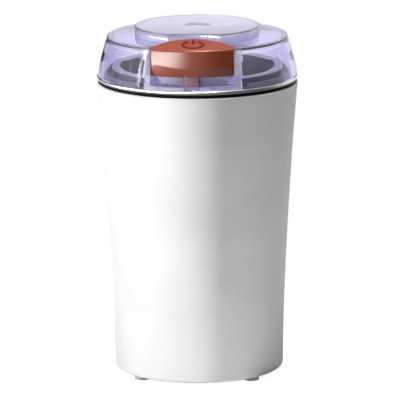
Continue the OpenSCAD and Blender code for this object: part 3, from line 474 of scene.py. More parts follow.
# Painted light and shade: a pale, half-clear version of the lid's plastic, on the front pane's lip and
# the upper half of the lid's top edge
PAINTED_HALF_LIGHT = clear_plastic(
    "painted_half_light_lavender_acrylic", (0.58, 0.56, 0.70), (0.50, 0.47, 0.70), 0.3, (0.8, 0.78, 0.95), 0.5
)
# Painted shade: a dark version of the lid's plastic, low on the left of the front pane
PANE_PAINTED_SHADE = clear_plastic(
    "painted_shade_lavender_acrylic", (0.34, 0.32, 0.46), (0.30, 0.28, 0.44), 0.3, (0.8, 0.78, 0.95), 0.5
)
# Painted light: a pale, mostly opaque version of the lid's plastic, on the right post and the right of
# the front pane
RIGHT_PAINTED_LIGHT = clear_plastic(
    "painted_light_lavender_acrylic", (0.84, 0.82, 0.99), (0.76, 0.73, 0.99), 0.3, (0.8, 0.78, 0.95), 0.3
)
# Painted light: a slightly pale, mostly clear version of the lid's plastic, on the left post
LEFT_POST_PAINTED_LIGHT = clear_plastic(
    "left_post_painted_light_acrylic", (0.80, 0.77, 0.97), (0.60, 0.56, 0.92), 0.3, (0.8, 0.78, 0.95), 0.85
)
CROWN_CLEAR = clear_plastic(
    "clear_crown_acrylic", (0.84, 0.84, 0.90), (0.60, 0.58, 0.82), 0.05, (0.9, 0.88, 0.98), 0.78
)
# Painted shade: a dark, mostly opaque version of the lid's plastic, a dark line along the lid's top
# edge, the notch's side walls and the crown's top edge and foot
EDGE_PAINTED_SHADE = clear_plastic(
    "edge_painted_shade_acrylic", (0.20, 0.19, 0.28), (0.14, 0.13, 0.22), 0.2, (0.8, 0.78, 0.95), 0.3
)
TERRACOTTA = plastic(
    "satin_terracotta_plastic", (0.27, 0.045, 0.017), 0.5, coat=1.0, specular=0.1, gloss=0.2
)
TERRACOTTA.node_tree.nodes["Principled BSDF"].inputs["Coat IOR"].default_value = 1.6
MATT_TERRACOTTA = plastic("matt_terracotta_plastic", (0.36, 0.075, 0.045), 0.6, specular=0.2)
# Painted shade: a darker terracotta for the raised power sign
SIGN_PAINTED_SHADE = plastic("painted_shade_terracotta_symbol", (0.17, 0.018, 0.009), 0.5, specular=0.1)
SMOKY_PINK = plastic("smoky_pink_tab", (0.26, 0.14, 0.18), 0.35)
ZINC = metal("zinc_plated_steel", (0.62, 0.64, 0.66), 0.38, (1, 1, 1), 400)
SPRING = metal("bright_spring_wire", (0.7, 0.7, 0.7), 0.2, (1, 1, 1), 1200)
IRON = metal("stamped_iron_sheets", (0.20, 0.20, 0.21), 0.5, (0.05, 0.05, 8), 500, 0.3)
COPPER = metal("enamelled_copper_wire", (0.62, 0.25, 0.10), 0.35, (0.2, 0.2, 4), 600, 0.25)
BRASS = metal("stamped_brass", (0.72, 0.52, 0.22), 0.34, (1, 1, 1), 500)
CARBON = plastic("pressed_graphite", (0.02, 0.02, 0.022), 0.5, 0.00005, 0.2)
ACETAL = plastic("grey_acetal", (0.06, 0.06, 0.065), 0.45)
RED_ACETAL = plastic("red_acetal", (0.5, 0.05, 0.03), 0.4)
NYLON = plastic("white_nylon", (0.75, 0.75, 0.72), 0.5)
BOARD = plastic("green_lacquered_board", (0.03, 0.13, 0.05), 0.35, 0.00004, 0.15)
CAPACITOR = plastic("yellow_capacitor_case", (0.62, 0.45, 0.06), 0.4)
WIRE = plastic("red_wire_insulation", (0.45, 0.03, 0.02), 0.45)

NODE_MATERIALS = {
    WHITE: ["base_plate"],
    CARRIER: ["bowl_carrier"],
    DARK: ["microswitch"],
    SEAL: ["cord_grommet", "shaft_seal", "motor_dampers"],
    BLADE: ["motor_shaft", "upper_bearing", "lower_bearing", "switch_lever"],
    ZINC: [
        "base_screws", "carrier_screws", "motor_mount_screws", "motor_bolts", "switch_screws",
        "upper_bracket", "lower_bracket",
    ],
    SPRING: ["brush_springs"],
    IRON: ["stator_core", "armature_core"],
    COPPER: ["field_coils", "armature_winding", "commutator"],
    BRASS: ["brush_holders"],
    CARBON: ["carbon_brushes"],
    ACETAL: ["interlock_rod"],
    RED_ACETAL: ["switch_plunger"],
    NYLON: ["cooling_fan"],
    BOARD: ["circuit_board"],
    CAPACITOR: ["capacitor"],
    WIRE: ["lead_wires"],
}


def dress_cad_nodes():
    """Gives the CAD nodes that stay their materials."""
    for material, names in NODE_MATERIALS.items():
        for name in names:
            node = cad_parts[name]
            node.data.materials.clear()
            node.data.materials.append(material)


# ---------------------------------------------------------------- housing, feet and rings


def housing():
    """The flared shell: a smooth lathe with a rounded bottom corner and top edge."""
    steps, edge, lip_w = 60, 0.8, 0.5
    low, fillet = FOOT_CLEAR, BASE_FILLET
    side = [low + fillet + (BODY_H - edge - low - fillet) * i / steps for i in range(1, steps + 1)]
    centre = outer_r(low + fillet) - fillet
    lip = math.acos((outer_r(low) - WALL + lip_w - centre) / fillet)
    corner_z = low + fillet * math.sin(lip)
    corner = arc(centre, corner_z, fillet, -math.degrees(lip), 0, 8)
    top = arc(outer_r(BODY_H) - edge, BODY_H - edge, edge, 15, 90, 6)
    inner = [BODY_H - (BODY_H - low) * i / 20 for i in range(21)]
    outside = corner + [(outer_r(z), z) for z in side] + top
    obj = lathe("housing_shell", outside + [(outer_r(z) - WALL, z) for z in inner], 192)
    hole = round_bar("hole", (0, 0), CORD_HOLE_R, 0, 60, 0.1, 64)
    turn = Matrix.Rotation(-math.pi / 2, 4, "X")
    hole.matrix_world = Matrix.Translation((0, 0, CORD_Z * MM)) @ turn
    bpy.context.view_layer.update()
    combine(obj, hole, "DIFFERENCE")
    soften(obj)
    piece(obj, "root", "white_plastic", WHITE, "housing")


def feet():
    """Round rubber feet with a softened lower edge and a shallow dish."""
    top = FOOT_CLEAR + FOOT_SEAT
    profile = rounded([
        (0, 0.35, 0), (FOOT_R - 1.0, 0.35, 0.2), (FOOT_R - 0.7, 0, 0.15), (FOOT_R, 0, 0.3),
        (FOOT_R, top, 0.1), (0, top, 0),
    ])
    for i, turn in enumerate([-FOOT_ANGLE, FOOT_ANGLE, 180 - FOOT_ANGLE, 180 + FOOT_ANGLE]):
        a = math.radians(turn)
        foot = lathe(f"foot_{i + 1}", profile, 48, (FOOT_AT * math.cos(a), FOOT_AT * math.sin(a)))
        piece(foot, "root", "black_rubber", RUBBER, *(["rubber_feet"] if i == 0 else []))


def rings():
    """The glossy gasket with its rounded edge, and the steel ring with a soft crown and painted shade
    on its lower half.
    """
    inside, edge = DECK_R + 0.15, TOP_R - 0.4
    gasket = lathe("gasket_band", rounded([
        (inside, GASKET_Z, 0), (edge, GASKET_Z, 0.35), (edge, RING_Z, 0.35), (inside, RING_Z, 0),
    ], 5), 192)
    piece(gasket, "root", "black_rubber", GLOSS_BLACK, "gasket_ring")
    edge = TOP_R + 0.2
    ring = lathe("steel_ring", rounded([
        (inside, RING_Z, 0), (edge - 0.35, RING_Z, 0.15), (edge, RING_TOP - 0.9, 0.6),
        (edge, RING_TOP, 0.45), (inside, RING_TOP, 0.15),
    ], 6), 192)
    piece(ring, "root", "trim_steel", TRIM, "trim_ring")
    # Painted shade: the ring's faces below this height get the dark copy of its steel
    painted_shade_top = RING_TOP - 0.95
    paint(ring, [TRIM_PAINTED_SHADE], lambda face: TRIM_PAINTED_SHADE if face.center.z / MM < painted_shade_top else TRIM)


# ---------------------------------------------------------------- bowl


def bowl():
    """A spun bowl with a rolled bead round its rim."""
    sheet, corner, bead, hub_r = 0.6, 8.0, 0.65, 5.5
    low, flange, throat = BOWL_FLOOR - sheet, RIM_TOP - bead, BOWL_R - sheet
    turn_r, turn_z = BOWL_R - corner - sheet, low + corner + sheet
    profile = (
        [(hub_r, low)] + arc(turn_r, turn_z, corner + sheet, -90, 0, 12)
        + [(BOWL_R, flange - sheet / 2)] + arc(BEAD_AT, flange, bead, -150, 150, 20)
        + [(throat + 0.5, flange + sheet / 2), (throat, flange + sheet / 2 - 0.5)]
        + arc(turn_r, turn_z, corner, 0, -90, 12) + [(hub_r, low + sheet)]
    )
    piece(lathe("bowl_shell", profile, 160), "root", "bowl_steel", BOWL, "bowl")


# ---------------------------------------------------------------- lid


def lid_body():
    """The solid inside the lid's outer surface."""
    steps = 16
    side = [(LID_H - LID_FILLET) * i / steps for i in range(steps + 1)]
    top = arc(lid_r(LID_H) - LID_FILLET, LID_TOP - LID_FILLET, LID_FILLET, 15, 90, 6)
    profile = [(0, LID_Z)] + [(lid_r(h), LID_Z + h) for h in side] + top + [(0, LID_TOP)]
    return lathe("lid_body", profile, 240)


def lid_hollow():
    """The hollow under the lid's roof; the wall round it is thicker at the skirt."""
    ceiling, turn, taper = LID_H - LID_ROOF, 1.5, 4
    side_top = ceiling - turn
    upper = [side_top - (side_top - SKIRT_H - taper) * i / 10 for i in range(11)]
    lower = [SKIRT_H * (1 - i / 6) for i in range(7)]
    inner = lid_r(ceiling) - LID_WALL
    corner = [
        (inner - turn + turn * math.sin(a), LID_Z + ceiling - turn + turn * math.cos(a))
        for a in [math.radians(15 * i) for i in range(6)]
    ]
    profile = (
        [(0, LID_Z + ceiling)] + corner
        + [(lid_r(h) - LID_WALL, LID_Z + h) for h in upper]
        + [(lid_r(h) - LID_WALL - SKIRT_EXTRA, LID_Z + h) for h in lower]
        + [(lid_r(0) - LID_WALL - SKIRT_EXTRA, LID_Z - 1), (0, LID_Z - 1)]
    )
    return lathe("lid_hollow", profile, 240)


def notch_room(name, r, half, z0):
    """The room for the button: a round-backed slot open to the front."""
    corner = BACK_Y + math.sqrt(r * r - half * half)
    a0 = math.asin(half / r)
    back = [
        (r * math.sin(a), BACK_Y + r * math.cos(a))
        for a in [a0 - 2 * a0 * i / 48 for i in range(49)]
    ]
    return prism(name, [(-half, -80), (half, -80)] + back, z0, z0 + 40)


def disc(name, r, z0, z1, centre=(0, 0)):
    """A plain upright cylinder."""
    return lathe(name, [(0, z0), (r, z0), (r, z1), (0, z1)], 240, centre)


def notch_walls():
    """The part of the lid round the button that stays solid, but for the room of the bowl's bead."""
    foot, head, floor_z = 4.3, 2.1, LID_Z + 0.5
    walls = disc("around", SURROUND_R, floor_z, 190, (0, BACK_Y))
    corners = [
        (-NOTCH_HALF - foot, floor_z - 0.1), (NOTCH_HALF + foot, floor_z - 0.1),
        (NOTCH_HALF + head, LID_TOP + 1), (-NOTCH_HALF - head, LID_TOP + 1),
    ]
    front = loft("front", [[(x, y, z) for x, z in corners] for y in (-80, 0)])
    combine(walls, front, "INTERSECT")
    combine(walls, disc("bead_room", BEAD_ROOM_R, 100, RIM_TOP + 0.5), "DIFFERENCE")
    return walls


def spring_post(side):
    """A stepped pin on the lid's shelf, which a spring of the button stands round."""
    foot, collar, top = SHELF_TOP - 0.3, SHELF_TOP + 1.2, SHELF_TOP + 6.2
    collar_r, pin_r = 2.8, 1.1
    profile = rounded([
        (0, foot, 0), (collar_r, foot, 0), (collar_r, collar, 0.2), (pin_r, collar, 0),
        (pin_r, top, 0.3), (0, top, 0),
    ])
    return lathe("post", profile, 32, (SPRING_X * side, SPRING_Y))


def lid_plastic_with_painted_light(face):
    """The plastic that a face of the lid shows: its clear plastic or one of its versions with painted
    light and shade.

    It is one clear plastic. The photo's light sets its edges, its posts and the two sides of its
    front pane apart, so they have versions of their own.
    """
    x, y, z = face.center / MM
    pane_top = SHELF_TOP + 0.3
    notch_side = abs(face.normal.x) > 0.9 and abs(abs(x) - NOTCH_HALF) < 0.3
    # Painted shade on the notch's side walls beside the button
    if y < -38 and notch_side and z > SHELF_TOP:
        return EDGE_PAINTED_SHADE
    pane = abs(x) < NOTCH_HALF + 1.5 and z < pane_top
    post = NOTCH_HALF - 0.3 < abs(x) < NOTCH_HALF + 3.2 and z < LID_TOP - 1
    if y < -37 and (pane or post):
        lip = math.hypot(x, y) > lid_r(max(z - LID_Z, 0)) - 0.4
        # On the pane's lip: clear in front of the slot, painted half light elsewhere
        if z < pane_top and lip:
            return CLEAR if abs(x) < 4 else PAINTED_HALF_LIGHT
        # Elsewhere on the pane and posts: painted light on the right, a lighter version on the left
        # post, painted shade low on the left of the pane
        if x > 0:
            return RIGHT_PAINTED_LIGHT
        return LEFT_POST_PAINTED_LIGHT if z > pane_top else PANE_PAINTED_SHADE
    # The lid's rounded top edge: painted shade on its lower half, painted half light on its upper half
    if z > LID_TOP - LID_FILLET + 0.05 and 0.05 < face.normal.z < 0.95:
        return EDGE_PAINTED_SHADE if face.normal.z < 0.6 else PAINTED_HALF_LIGHT
    return CLEAR


def lid():
    """The clear lid: a turned shell with the button's notch, its pocket floor and its shelf."""
    hollow = lid_hollow()
    combine(hollow, notch_walls(), "DIFFERENCE")
    shell = lid_body()
    combine(shell, hollow, "DIFFERENCE")
    combine(shell, notch_room("room", BACK_R + NOTCH_GAP, NOTCH_HALF, SHELF_TOP), "DIFFERENCE")
    pocket = notch_room("pocket", BACK_R + NOTCH_GAP - 0.1, NOTCH_HALF - 0.1, LID_Z + 1.9)
    combine(pocket, disc("keep", POCKET_R, 100, 200), "DIFFERENCE")
    combine(shell, pocket, "DIFFERENCE")
    slot_half = TAB_HALF + TAB_GAP
    slot_front, slot_back = TAB_FRONT - NOTCH_GAP, TAB_BACK + NOTCH_GAP
    slot = block("slot", -slot_half, slot_half, slot_front, slot_back, LID_Z - 2, LID_Z + 10)
    combine(shell, slot, "DIFFERENCE")
    bevel(shell, 0.2)
    clean(shell, 0.008)
    for side in (-1, 1):
        combine(shell, spring_post(side), "UNION")
    shell.name = "lid_clear_shell"
    soften(shell, 30)
    piece(shell, "lid", "clear_lavender", CLEAR, "lid_shell")
    # Painted light and shade: faces of the lid get lit and shaded versions of its plastic
    paint(shell, (PAINTED_HALF_LIGHT, EDGE_PAINTED_SHADE, LEFT_POST_PAINTED_LIGHT, RIGHT_PAINTED_LIGHT, PANE_PAINTED_SHADE), lid_plastic_with_painted_light)


def crown_ring(inset, z, arc_steps=120, bite_steps=40):
    """The crown's outline, a circle with a shallow bite in front, drawn in by an inset."""
    r, bite = CROWN_R - inset, BITE_R + inset
    y = (r * r - bite * bite + BITE_Y * BITE_Y) / (2 * BITE_Y)
    x = math.sqrt(r * r - y * y)
    a0 = math.atan2(y, x)
    sweep = math.pi - 2 * a0
    arc = [a0 + sweep * i / arc_steps for i in range(arc_steps + 1)]
    b0 = math.atan2(y - BITE_Y, x)
    bites = [math.pi - b0 - (math.pi - 2 * b0) * i / bite_steps for i in range(1, bite_steps)]
    return [(r * math.cos(a), r * math.sin(a), z) for a in arc] + [
        (bite * math.cos(b), BITE_Y + bite * math.sin(b), z) for b in bites
    ]


def crown():
    """The raised disc: a shallow cap with rounded edges, a bite in front and a dimple, with painted
    shade at its top edge and foot.
    """
    low, edge = LID_TOP + 0.02, 0.5
    inner_top = CROWN_TOP - CROWN_WALL
    rings = [
        crown_ring(CROWN_WALL, inner_top), crown_ring(CROWN_WALL, low), crown_ring(0.15, low),
        crown_ring(0, low + 0.15),
    ]
    rings += [
        crown_ring(edge * (1 - math.cos(a)), CROWN_TOP - edge + edge * math.sin(a))
        for a in [math.radians(15 * i) for i in range(7)]
    ]
    obj = loft("crown_clear_disc", rings)
    dish_r, dish_z = 6.5, CROWN_TOP - 0.7
    dish = lathe("dish", rounded([
        (0, dish_z, 0), (dish_r - 1.1, dish_z, 0.5), (dish_r, CROWN_TOP + 0.01, 0.1),
        (dish_r, CROWN_TOP + 2, 0), (0, CROWN_TOP + 2, 0),
    ]), 96)
    combine(obj, dish, "DIFFERENCE")
    soften(obj, 30)
    piece(obj, "lid", "clear_lavender", CROWN_CLEAR, "lid_crown")

    def face_material(face):
        """Painted shade: a dark plastic on the rounded top edge outside the dimple, and at the foot.
        """
        z = face.center.z / MM
        outside_dish = face.center.xy.length / MM > dish_r + 0.5
        top_edge = CROWN_TOP - edge < z < CROWN_TOP - 0.03 and outside_dish
        return EDGE_PAINTED_SHADE if top_edge or z < low + 0.16 else CROWN_CLEAR

    paint(obj, [EDGE_PAINTED_SHADE], face_material)


# ---------------------------------------------------------------- button and springs


def button_section(x, shrink):
    """The button's outline at one place across it, as (y, z) points from the back's foot round."""
    front = math.sqrt(BUTTON_R ** 2 - x * x) - shrink
    back = BACK_Y + math.sqrt(BACK_R ** 2 - x * x) - shrink
    foot, top = BUTTON_Z + shrink, BUTTON_TOP - shrink
    crease = CREASE_Z - CREASE_DIP * max(0.0, 1 - abs(x / CREASE_HALF) ** 1.7)
    step = min(math.sqrt(max(STEP_R ** 2 - x * x, 0)), front - 1.2)
    rise = (front - FRONT_LEAN + back) * SLOPE
    shoulder = top - 1.1
    lean = FRONT_LEAN * (shoulder - crease - 0.5) / (top - crease - 0.5)
    corners = [
        (back, BUTTON_BACK_Z, 0.2), (back, top + rise, 0.5), (-front + FRONT_LEAN, top, 0.9),
        (-front + lean, shoulder, 0), (-front, crease + 0.5, 0), (-front, crease, 0),
        (-front + 1.1, foot, 0.3), (-step, foot, 0), (-step, BUTTON_BACK_Z, 0),
    ]
    return rounded(corners, 4)


def button_tab():
    """The tab that hangs below the button and goes through the lid's slot."""
    outline = rounded([
        (-TAB_HALF, TAB_FRONT, 0.3), (TAB_HALF, TAB_FRONT, 0.3), (TAB_HALF, TAB_BACK, 0.3),
        (-TAB_HALF, TAB_BACK, 0.3),
    ])
    levels = (TAB_FOOT, BUTTON_Z, BUTTON_TOP - 1)
    return loft("tab", [[(x, y, z) for x, y in outline] for z in levels])


def button():
    """The cap: a bow-shaped push button with a creased front, hollow under its top."""
    edge, count = 0.6, 44
    inner = BUTTON_HALF - edge
    ends = [
        (-BUTTON_HALF + edge * (1 - math.cos(a)), edge * (1 - math.sin(a)))
        for a in [math.radians(18 * i) for i in range(5)]
    ]
    middle = [(-inner + 2 * inner * i / count, 0.0) for i in range(count + 1)]
    stations = ends + middle + [(-x, s) for x, s in reversed(ends)]
    rings = [[(x, y, z) for y, z in button_section(x, s)] for x, s in stations]
    cap = loft("button_shell", rings)
    combine(cap, button_hollow(), "DIFFERENCE")
    combine(cap, button_tab(), "UNION")
    soften(cap, 34)
    piece(cap, "button", "terracotta_plastic", TERRACOTTA, "button_cap")

    def face_material(face):
        """A matt top, a smoky pink tab and lower edge, and a satin rest."""
        if face.normal.z > 0.9:
            return MATT_TERRACOTTA
        highest = max(cap.data.vertices[v].co.z for v in face.vertices)
        return SMOKY_PINK if highest < (BUTTON_Z + 0.05) * MM else TERRACOTTA

    paint(cap, (MATT_TERRACOTTA, SMOKY_PINK), face_material)


def button_hollow():
    """The room inside the button, under a roof that follows its sloping top."""
    wall, count, foot, ceiling = 1.8, 32, 150, BUTTON_TOP - 2.03
    half, r, back_r = BUTTON_HALF - wall, BUTTON_R - wall, BACK_R - wall
    rings = []
    for i in range(count + 1):
        x = -half + 2 * half * i / count
        front = math.sqrt(r * r - x * x)
        back = BACK_Y + math.sqrt(back_r ** 2 - x * x)
        rise = (BUTTON_R + back) * SLOPE
        low = (BUTTON_R - front) * SLOPE
        rings.append([
            (x, back, foot), (x, back, ceiling + rise), (x, -front, ceiling + low),
            (x, -front, foot),
        ])
    return loft("button_hollow", rings)


def coil(name, centre, r, wire, z0, z1, turns, body, joint, travel, *nodes):
    """A compression spring whose foot stands at z0 and whose top reaches z1; joint and travel are not
    used.
    """
    around, per_turn = 10, 26
    steps = per_turn * turns
    bm = bmesh.new()
    rings = []
    for i in range(steps + 1):
        a = 2 * math.pi * i / per_turn
        level = z0 + wire + (z1 - z0 - 2 * wire) * i / steps
        rings.append([
            bm.verts.new((
                centre[0] + (r + wire * math.cos(b)) * math.cos(a),
                centre[1] + (r + wire * math.cos(b)) * math.sin(a),
                level + wire * math.sin(b),
            ))
            for b in [2 * math.pi * k / around for k in range(around)]
        ])
    for low, high in zip(rings, rings[1:]):
        for k in range(around):
            j = (k + 1) % around
            bm.faces.new([low[k], low[j], high[j], high[k]])
    bm.faces.new(rings[0][::-1])
    bm.faces.new(rings[-1])
    obj = add_object(name, bm, 50)
    piece(obj, body, "spring_steel", SPRING, *nodes)
    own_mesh(obj)


def springs():
    """The button's two springs and the one that lifts the interlock rod."""
    for side, nodes in ((-1, ["button_springs"]), (1, [])):
        name = f"button_spring_{'left' if side < 0 else 'right'}"
        place = (SPRING_X * side, SPRING_Y)
        coil(name, place, *BUTTON_COIL, "lid", "button_press", PRESS, *nodes)
    coil("rod_return_spring", ROD_SPRING_AT, *ROD_COIL, "root", "rod_slide", PRESS, "rod_spring")


def power_symbol():
    """A raised, generic power sign on the button's sloping top, in a darker terracotta that paints
    shade on it.
    """
    radius, wire, centre_y = 5.0, 0.72, -38.4
    bar_foot, bar_length = 1.2, 4.6
    tilt = Matrix.Rotation(TILT, 4, "X")
    base = Vector((0, centre_y, BUTTON_TOP + (BUTTON_R - FRONT_LEAN + centre_y) * SLOPE))

    def tube(points, name):
        rings = []
        for i, p in enumerate(points):
            ahead = points[min(i + 1, len(points) - 1)] - points[max(i - 1, 0)]
            side = Vector((-ahead.y, ahead.x, 0)).normalized()
            rings.append([])
            for k in range(12):
                a = 2 * math.pi * k / 12
                lift = Vector((0, 0, wire * 0.75 * math.sin(a)))
                rings[-1].append(base + tilt @ (p + side * wire * math.cos(a) + lift))
        return loft(name, rings)

    gap = math.radians(34)
    turns = [math.pi / 2 + gap + (2 * math.pi - 2 * gap) * i / 48 for i in range(49)]
    circle = [Vector((radius * math.cos(a), radius * math.sin(a), 0)) for a in turns]
    ring = tube(circle, "power_ring")
    bar = tube([Vector((0, bar_foot + bar_length * i / 8, 0)) for i in range(9)], "power_bar")
    for obj in (ring, bar):
        piece(obj, "button", "terracotta_plastic", SIGN_PAINTED_SHADE)


# ---------------------------------------------------------------- stage, light and camera

# The world's light on the object, and the floor's own glow and the grey that takes its shadow
AMBIENT = 0.174
FLOOR_GLOW = 0.955
FLOOR_SHADOW = 0.25
SEEN = ("Is Camera Ray", "Is Glossy Ray", "Is Transmission Ray")

# The key lamp stands at the left, turned by KEY_AZ degrees from the front
KEY_AZ = 70.1
KEY_D = 1500
KEY_X = -KEY_D * math.sin(math.radians(KEY_AZ))
KEY_Y = -KEY_D * math.cos(math.radians(KEY_AZ))

# Lamps: name, place, aim, size in metres, power in watts and beam in degrees
LAMPS = [
    ("key", (KEY_X, KEY_Y, 360), (0, 0, 90), (0.1, 0.8), 1.52, 24),
    ("overhead", (120, -250, 1250), (60, -190, 0), (0.4, 0.4), 0.68, 30),
]

# Dark cards: upright on the right and at the back left, flat at the right, and under the right corner
FLAG = [(350, -1500, 2), (1000, 500, 2), (1000, 500, 1200), (350, -1500, 1200)]
BACK_FLAG = [(-1000, 150, 60), (-210, 850, 60), (-210, 850, 1200), (-1000, 150, 1200)]
LOW_FLAG = [(44, -35, 1), (100, -35, 1), (100, 140, 1), (44, 140, 1)]
CORNER_FLAG = [(32, -38, 1.5), (49, -38, 1.5), (49, 6, 1.5), (32, 6, 1.5)]
FLAG_GREY = 0.3

# The scrim: its distance from the axis, the half width that its places are shares of, at the foot
# and the top of the housing, and its (place, share let through) stops there, first the two ends
NET_AT = 130
NET_R = (39, 46)
NET_LOW = [
    (0.0, 0.355), (1.0, 0.80), (0.35, 0.385), (0.57, 0.405), (0.78, 0.465), (0.89, 0.56), (0.96, 0.68),
]
NET_HIGH = [
    (0.0, 0.48), (1.0, 0.90), (0.19, 0.485), (0.47, 0.51), (0.64, 0.575), (0.80, 0.70), (0.89, 0.79),
    (0.95, 0.855),
]

# The table that shiny pieces mirror, and its (x, level) brightness, first the two ends
TABLE = [(-1500, -3000, 1), (1500, -3000, 1), (1500, 100, 1), (-1500, 100, 1)]
TABLE_LEVELS = [
    (-1500, 0.1), (1500, 0.001), (-900, 1.0), (-680, 0.85), (-540, 0.48), (-460, 0.3), (-310, 0.09),
    (-140, 0.035), (100, 0.025), (300, 0.010), (700, 0.004),
]
TABLE_GLOW = 20.0

# The camera: degrees from the front, level distance, height, the height it aims at, focal length
# and picture width in pixels, sensor width, roll in degrees, and the aim's shift in pixels
CAMERA_AZ = 3.4
CAMERA_D = 2200
CAMERA_H = 552
CAMERA_AIM = 88
FOCAL_PX = 4497
FRAME_PX = 400
SENSOR = 36
ROLL = -0.404
CENTRE_OFF = (1.63, 3.4)


def light_path_sum(nodes, links, names):
    """1 where any of the named Light Path outputs is 1."""
    path = nodes.new("ShaderNodeLightPath")
    total = path.outputs[names[0]]
    for name in names[1:]:
        either = nodes.new("ShaderNodeMath")
        either.operation = "MAXIMUM"
        links.new(total, either.inputs[0])
        links.new(path.outputs[name], either.inputs[1])
        total = either.outputs[0]
    return total


def white_floor():
    """A plain pale floor: white to the eye, with the object's soft shadow left on it."""
    material, nodes, links, shader = new_material("pale_floor")
    shader.inputs["Base Color"].default_value = (0.7, 0.7, 0.7, 1)
    shader.inputs["Roughness"].default_value = 1.0
    shader.inputs["Specular IOR Level"].default_value = 0.0
    glow = nodes.new("ShaderNodeEmission")
    glow.inputs["Strength"].default_value = FLOOR_GLOW
    shadowed = nodes.new("ShaderNodeBsdfDiffuse")
    shadowed.inputs["Color"].default_value = (FLOOR_SHADOW, FLOOR_SHADOW, FLOOR_SHADOW, 1)
    added = nodes.new("ShaderNodeAddShader")
    links.new(glow.outputs[0], added.inputs[0])
    links.new(shadowed.outputs[0], added.inputs[1])
    mix = nodes.new("ShaderNodeMixShader")
    links.new(light_path_sum(nodes, links, SEEN), mix.inputs["Fac"])
    links.new(shader.outputs["BSDF"], mix.inputs[1])
    links.new(added.outputs[0], mix.inputs[2])
    links.new(mix.outputs[0], nodes["Material Output"].inputs["Surface"])
    bm = bmesh.new()
    far = 6000
    corners = [(-far, -far, 0), (far, -far, 0), (far, far, 0), (-far, far, 0)]
    bm.faces.new([bm.verts.new(p) for p in corners])
    floor = add_object("floor", bm)
    floor.data.materials.append(material)


def card(name, corners, material, **seen):
    """A flat card that the camera doesn't see; seen says which other rays pass it by."""
    bm = bmesh.new()
    bm.faces.new([bm.verts.new(p) for p in corners])
    obj = add_object(name, bm)
    obj.data.materials.append(material)
    obj.visible_camera = False
    obj.visible_transmission = False
    for way, shown in seen.items():
        setattr(obj, "visible_" + way, shown)


def dark_flags():
    """Two dark cards that shiny pieces mirror, and two low ones that take up bounced light."""
    material, _, _, shader = new_material("dark_flag")
    shader.inputs["Base Color"].default_value = (FLAG_GREY, FLAG_GREY, FLAG_GREY, 1)
    shader.inputs["Roughness"].default_value = 1.0
    shader.inputs["Specular IOR Level"].default_value = 0.0
    card("flag_right", FLAG, material, diffuse=False)
    card("flag_back", BACK_FLAG, material, diffuse=False, shadow=False)
    card("flag_low", LOW_FLAG, material, shadow=False, glossy=False)
    card("flag_corner", CORNER_FLAG, DARK, shadow=False, glossy=False)


def grey_ramp(nodes, links, value, stops):
    """A value turned into a grey by (place, level) stops."""
    ramp = nodes.new("ShaderNodeValToRGB")
    elements = ramp.color_ramp.elements
    for i, (where, level) in enumerate(stops):
        stop = elements[i] if i < 2 else elements.new(where)
        stop.position = where
        stop.color = (level, level, level, 1)
    links.new(value, ramp.inputs["Fac"])
    return ramp.outputs["Color"]


def net():
    """A graded scrim before the key lamp: the object's front gets more of that lamp than its side."""
    material, nodes, links, _ = new_material("scrim_net")
    az = math.radians(KEY_AZ)
    along = Vector((-math.sin(az), -math.cos(az), 0))
    across = Vector((math.cos(az), -math.sin(az), 0))
    place = coordinates(nodes, links)
    out = nodes.new("ShaderNodeVectorMath")
    out.operation = "DOT_PRODUCT"
    out.inputs[1].default_value = across
    links.new(place, out.inputs[0])
    split = nodes.new("ShaderNodeSeparateXYZ")
    links.new(place, split.inputs[0])
    width = spread(nodes, links, split.outputs["Z"], NET_R[0] * MM, NET_R[1] * MM, 0, BODY_H * MM)
    share = nodes.new("ShaderNodeMath")
    share.operation = "DIVIDE"
    links.new(out.outputs["Value"], share.inputs[0])
    links.new(width, share.inputs[1])
    mix = nodes.new("ShaderNodeMix")
    mix.data_type = "RGBA"
    links.new(spread(nodes, links, split.outputs["Z"], 0, 1, 0, BODY_H * MM), mix.inputs["Factor"])
    for socket, stops in (("A", NET_LOW), ("B", NET_HIGH)):
        links.new(grey_ramp(nodes, links, share.outputs[0], stops), mix.inputs[socket])
    thin = nodes.new("ShaderNodeBsdfTransparent")
    links.new(mix.outputs["Result"], thin.inputs["Color"])
    links.new(thin.outputs[0], nodes["Material Output"].inputs["Surface"])
    corners = [
        along * NET_AT + across * t + Vector((0, 0, z))
        for t, z in [(-200, -20), (90, -20), (90, 420), (-200, 420)]
    ]
    card("scrim", corners, material, glossy=False, diffuse=False)


def reflector():
    """The table as shiny pieces show it: bright at the left and dark at the right."""
    material, nodes, links, _ = new_material("table_card")
    split = nodes.new("ShaderNodeSeparateXYZ")
    links.new(coordinates(nodes, links), split.inputs[0])
    ramp = nodes.new("ShaderNodeFloatCurve")
    points = ramp.mapping.curves[0].points
    left, right = TABLE[0][0], TABLE[1][0]
    for i, (place, level) in enumerate(TABLE_LEVELS):
        share = (place - left) / (right - left)
        if i < 2:
            points[i].location = (share, level)
        else:
            points.new(share, level)
    ramp.mapping.update()
    across = spread(nodes, links, split.outputs["X"], 0, 1, left * MM, right * MM)
    links.new(across, ramp.inputs["Value"])
    glow = nodes.new("ShaderNodeEmission")
    strength = spread(nodes, links, ramp.outputs["Value"], 0, TABLE_GLOW, 0, 1)
    links.new(strength, glow.inputs["Strength"])
    links.new(glow.outputs[0], nodes["Material Output"].inputs["Surface"])
    card("table_card", TABLE, material, diffuse=False, shadow=False)


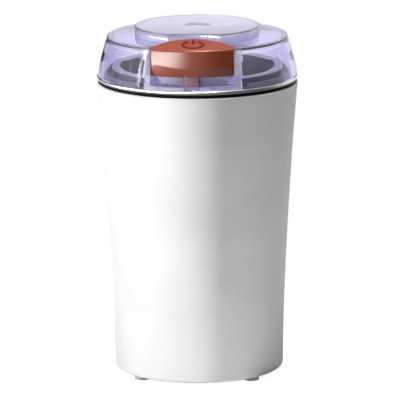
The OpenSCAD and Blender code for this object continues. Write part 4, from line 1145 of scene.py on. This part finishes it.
def lights():
    """A white world that lights the object less than it shows, and the lamps."""
    world = bpy.data.worlds.new("studio")
    scene.world = world
    world.use_nodes = True
    nodes, links = world.node_tree.nodes, world.node_tree.links
    background = nodes["Background"]
    span = nodes.new("ShaderNodeMapRange")
    span.inputs["To Min"].default_value = AMBIENT
    span.inputs["To Max"].default_value = 1.0
    links.new(light_path_sum(nodes, links, SEEN), span.inputs["Value"])
    background.inputs["Color"].default_value = (1, 1, 1, 1)
    links.new(span.outputs["Result"], background.inputs["Strength"])
    for name, place, aim, size, power, beam in LAMPS:
        data = bpy.data.lights.new(name, "AREA")
        data.shape = "RECTANGLE"
        data.size, data.size_y = size
        data.energy = power
        data.spread = math.radians(beam)
        lamp = bpy.data.objects.new(name, data)
        scene.collection.objects.link(lamp)
        lamp.visible_glossy = name != "key"
        lamp.location = Vector(place) * MM
        lamp.rotation_euler = (Vector(aim) - Vector(place)).to_track_quat("-Z", "Y").to_euler()


def camera():
    """A camera placed like the photo's, as near as the object's outline tells."""
    az = math.radians(CAMERA_AZ)
    place = Vector((CAMERA_D * math.sin(az), -CAMERA_D * math.cos(az), CAMERA_H))
    forward = (Vector((0, 0, CAMERA_AIM)) - place).normalized()
    right = forward.cross(Vector((0, 0, 1))).normalized()
    up = right.cross(forward)
    roll = math.radians(ROLL)
    level_right, level_up = right, up
    right = level_right * math.cos(roll) + level_up * math.sin(roll)
    up = level_up * math.cos(roll) - level_right * math.sin(roll)
    off_x, off_y = CENTRE_OFF
    forward = (forward + right * off_x / FOCAL_PX - up * off_y / FOCAL_PX).normalized()
    right = (right - forward * right.dot(forward)).normalized()
    up = right.cross(forward)
    data = bpy.data.cameras.new("camera")
    data.sensor_width = SENSOR
    data.lens = FOCAL_PX * SENSOR / FRAME_PX
    data.clip_start, data.clip_end = 0.1, 100
    obj = bpy.data.objects.new("camera", data)
    scene.collection.objects.link(obj)
    turn = Matrix((right, up, -forward)).transposed().to_4x4()
    obj.matrix_world = Matrix.Translation(place * MM) @ turn
    scene.camera = obj


# ---------------------------------------------------------------- build

scene.view_settings.view_transform = "Standard"
dress_cad_nodes()
housing()
feet()
rings()
bowl()
lid()
crown()
button()
springs()
power_symbol()
white_floor()
dark_flags()
net()
reflector()
lights()
camera()
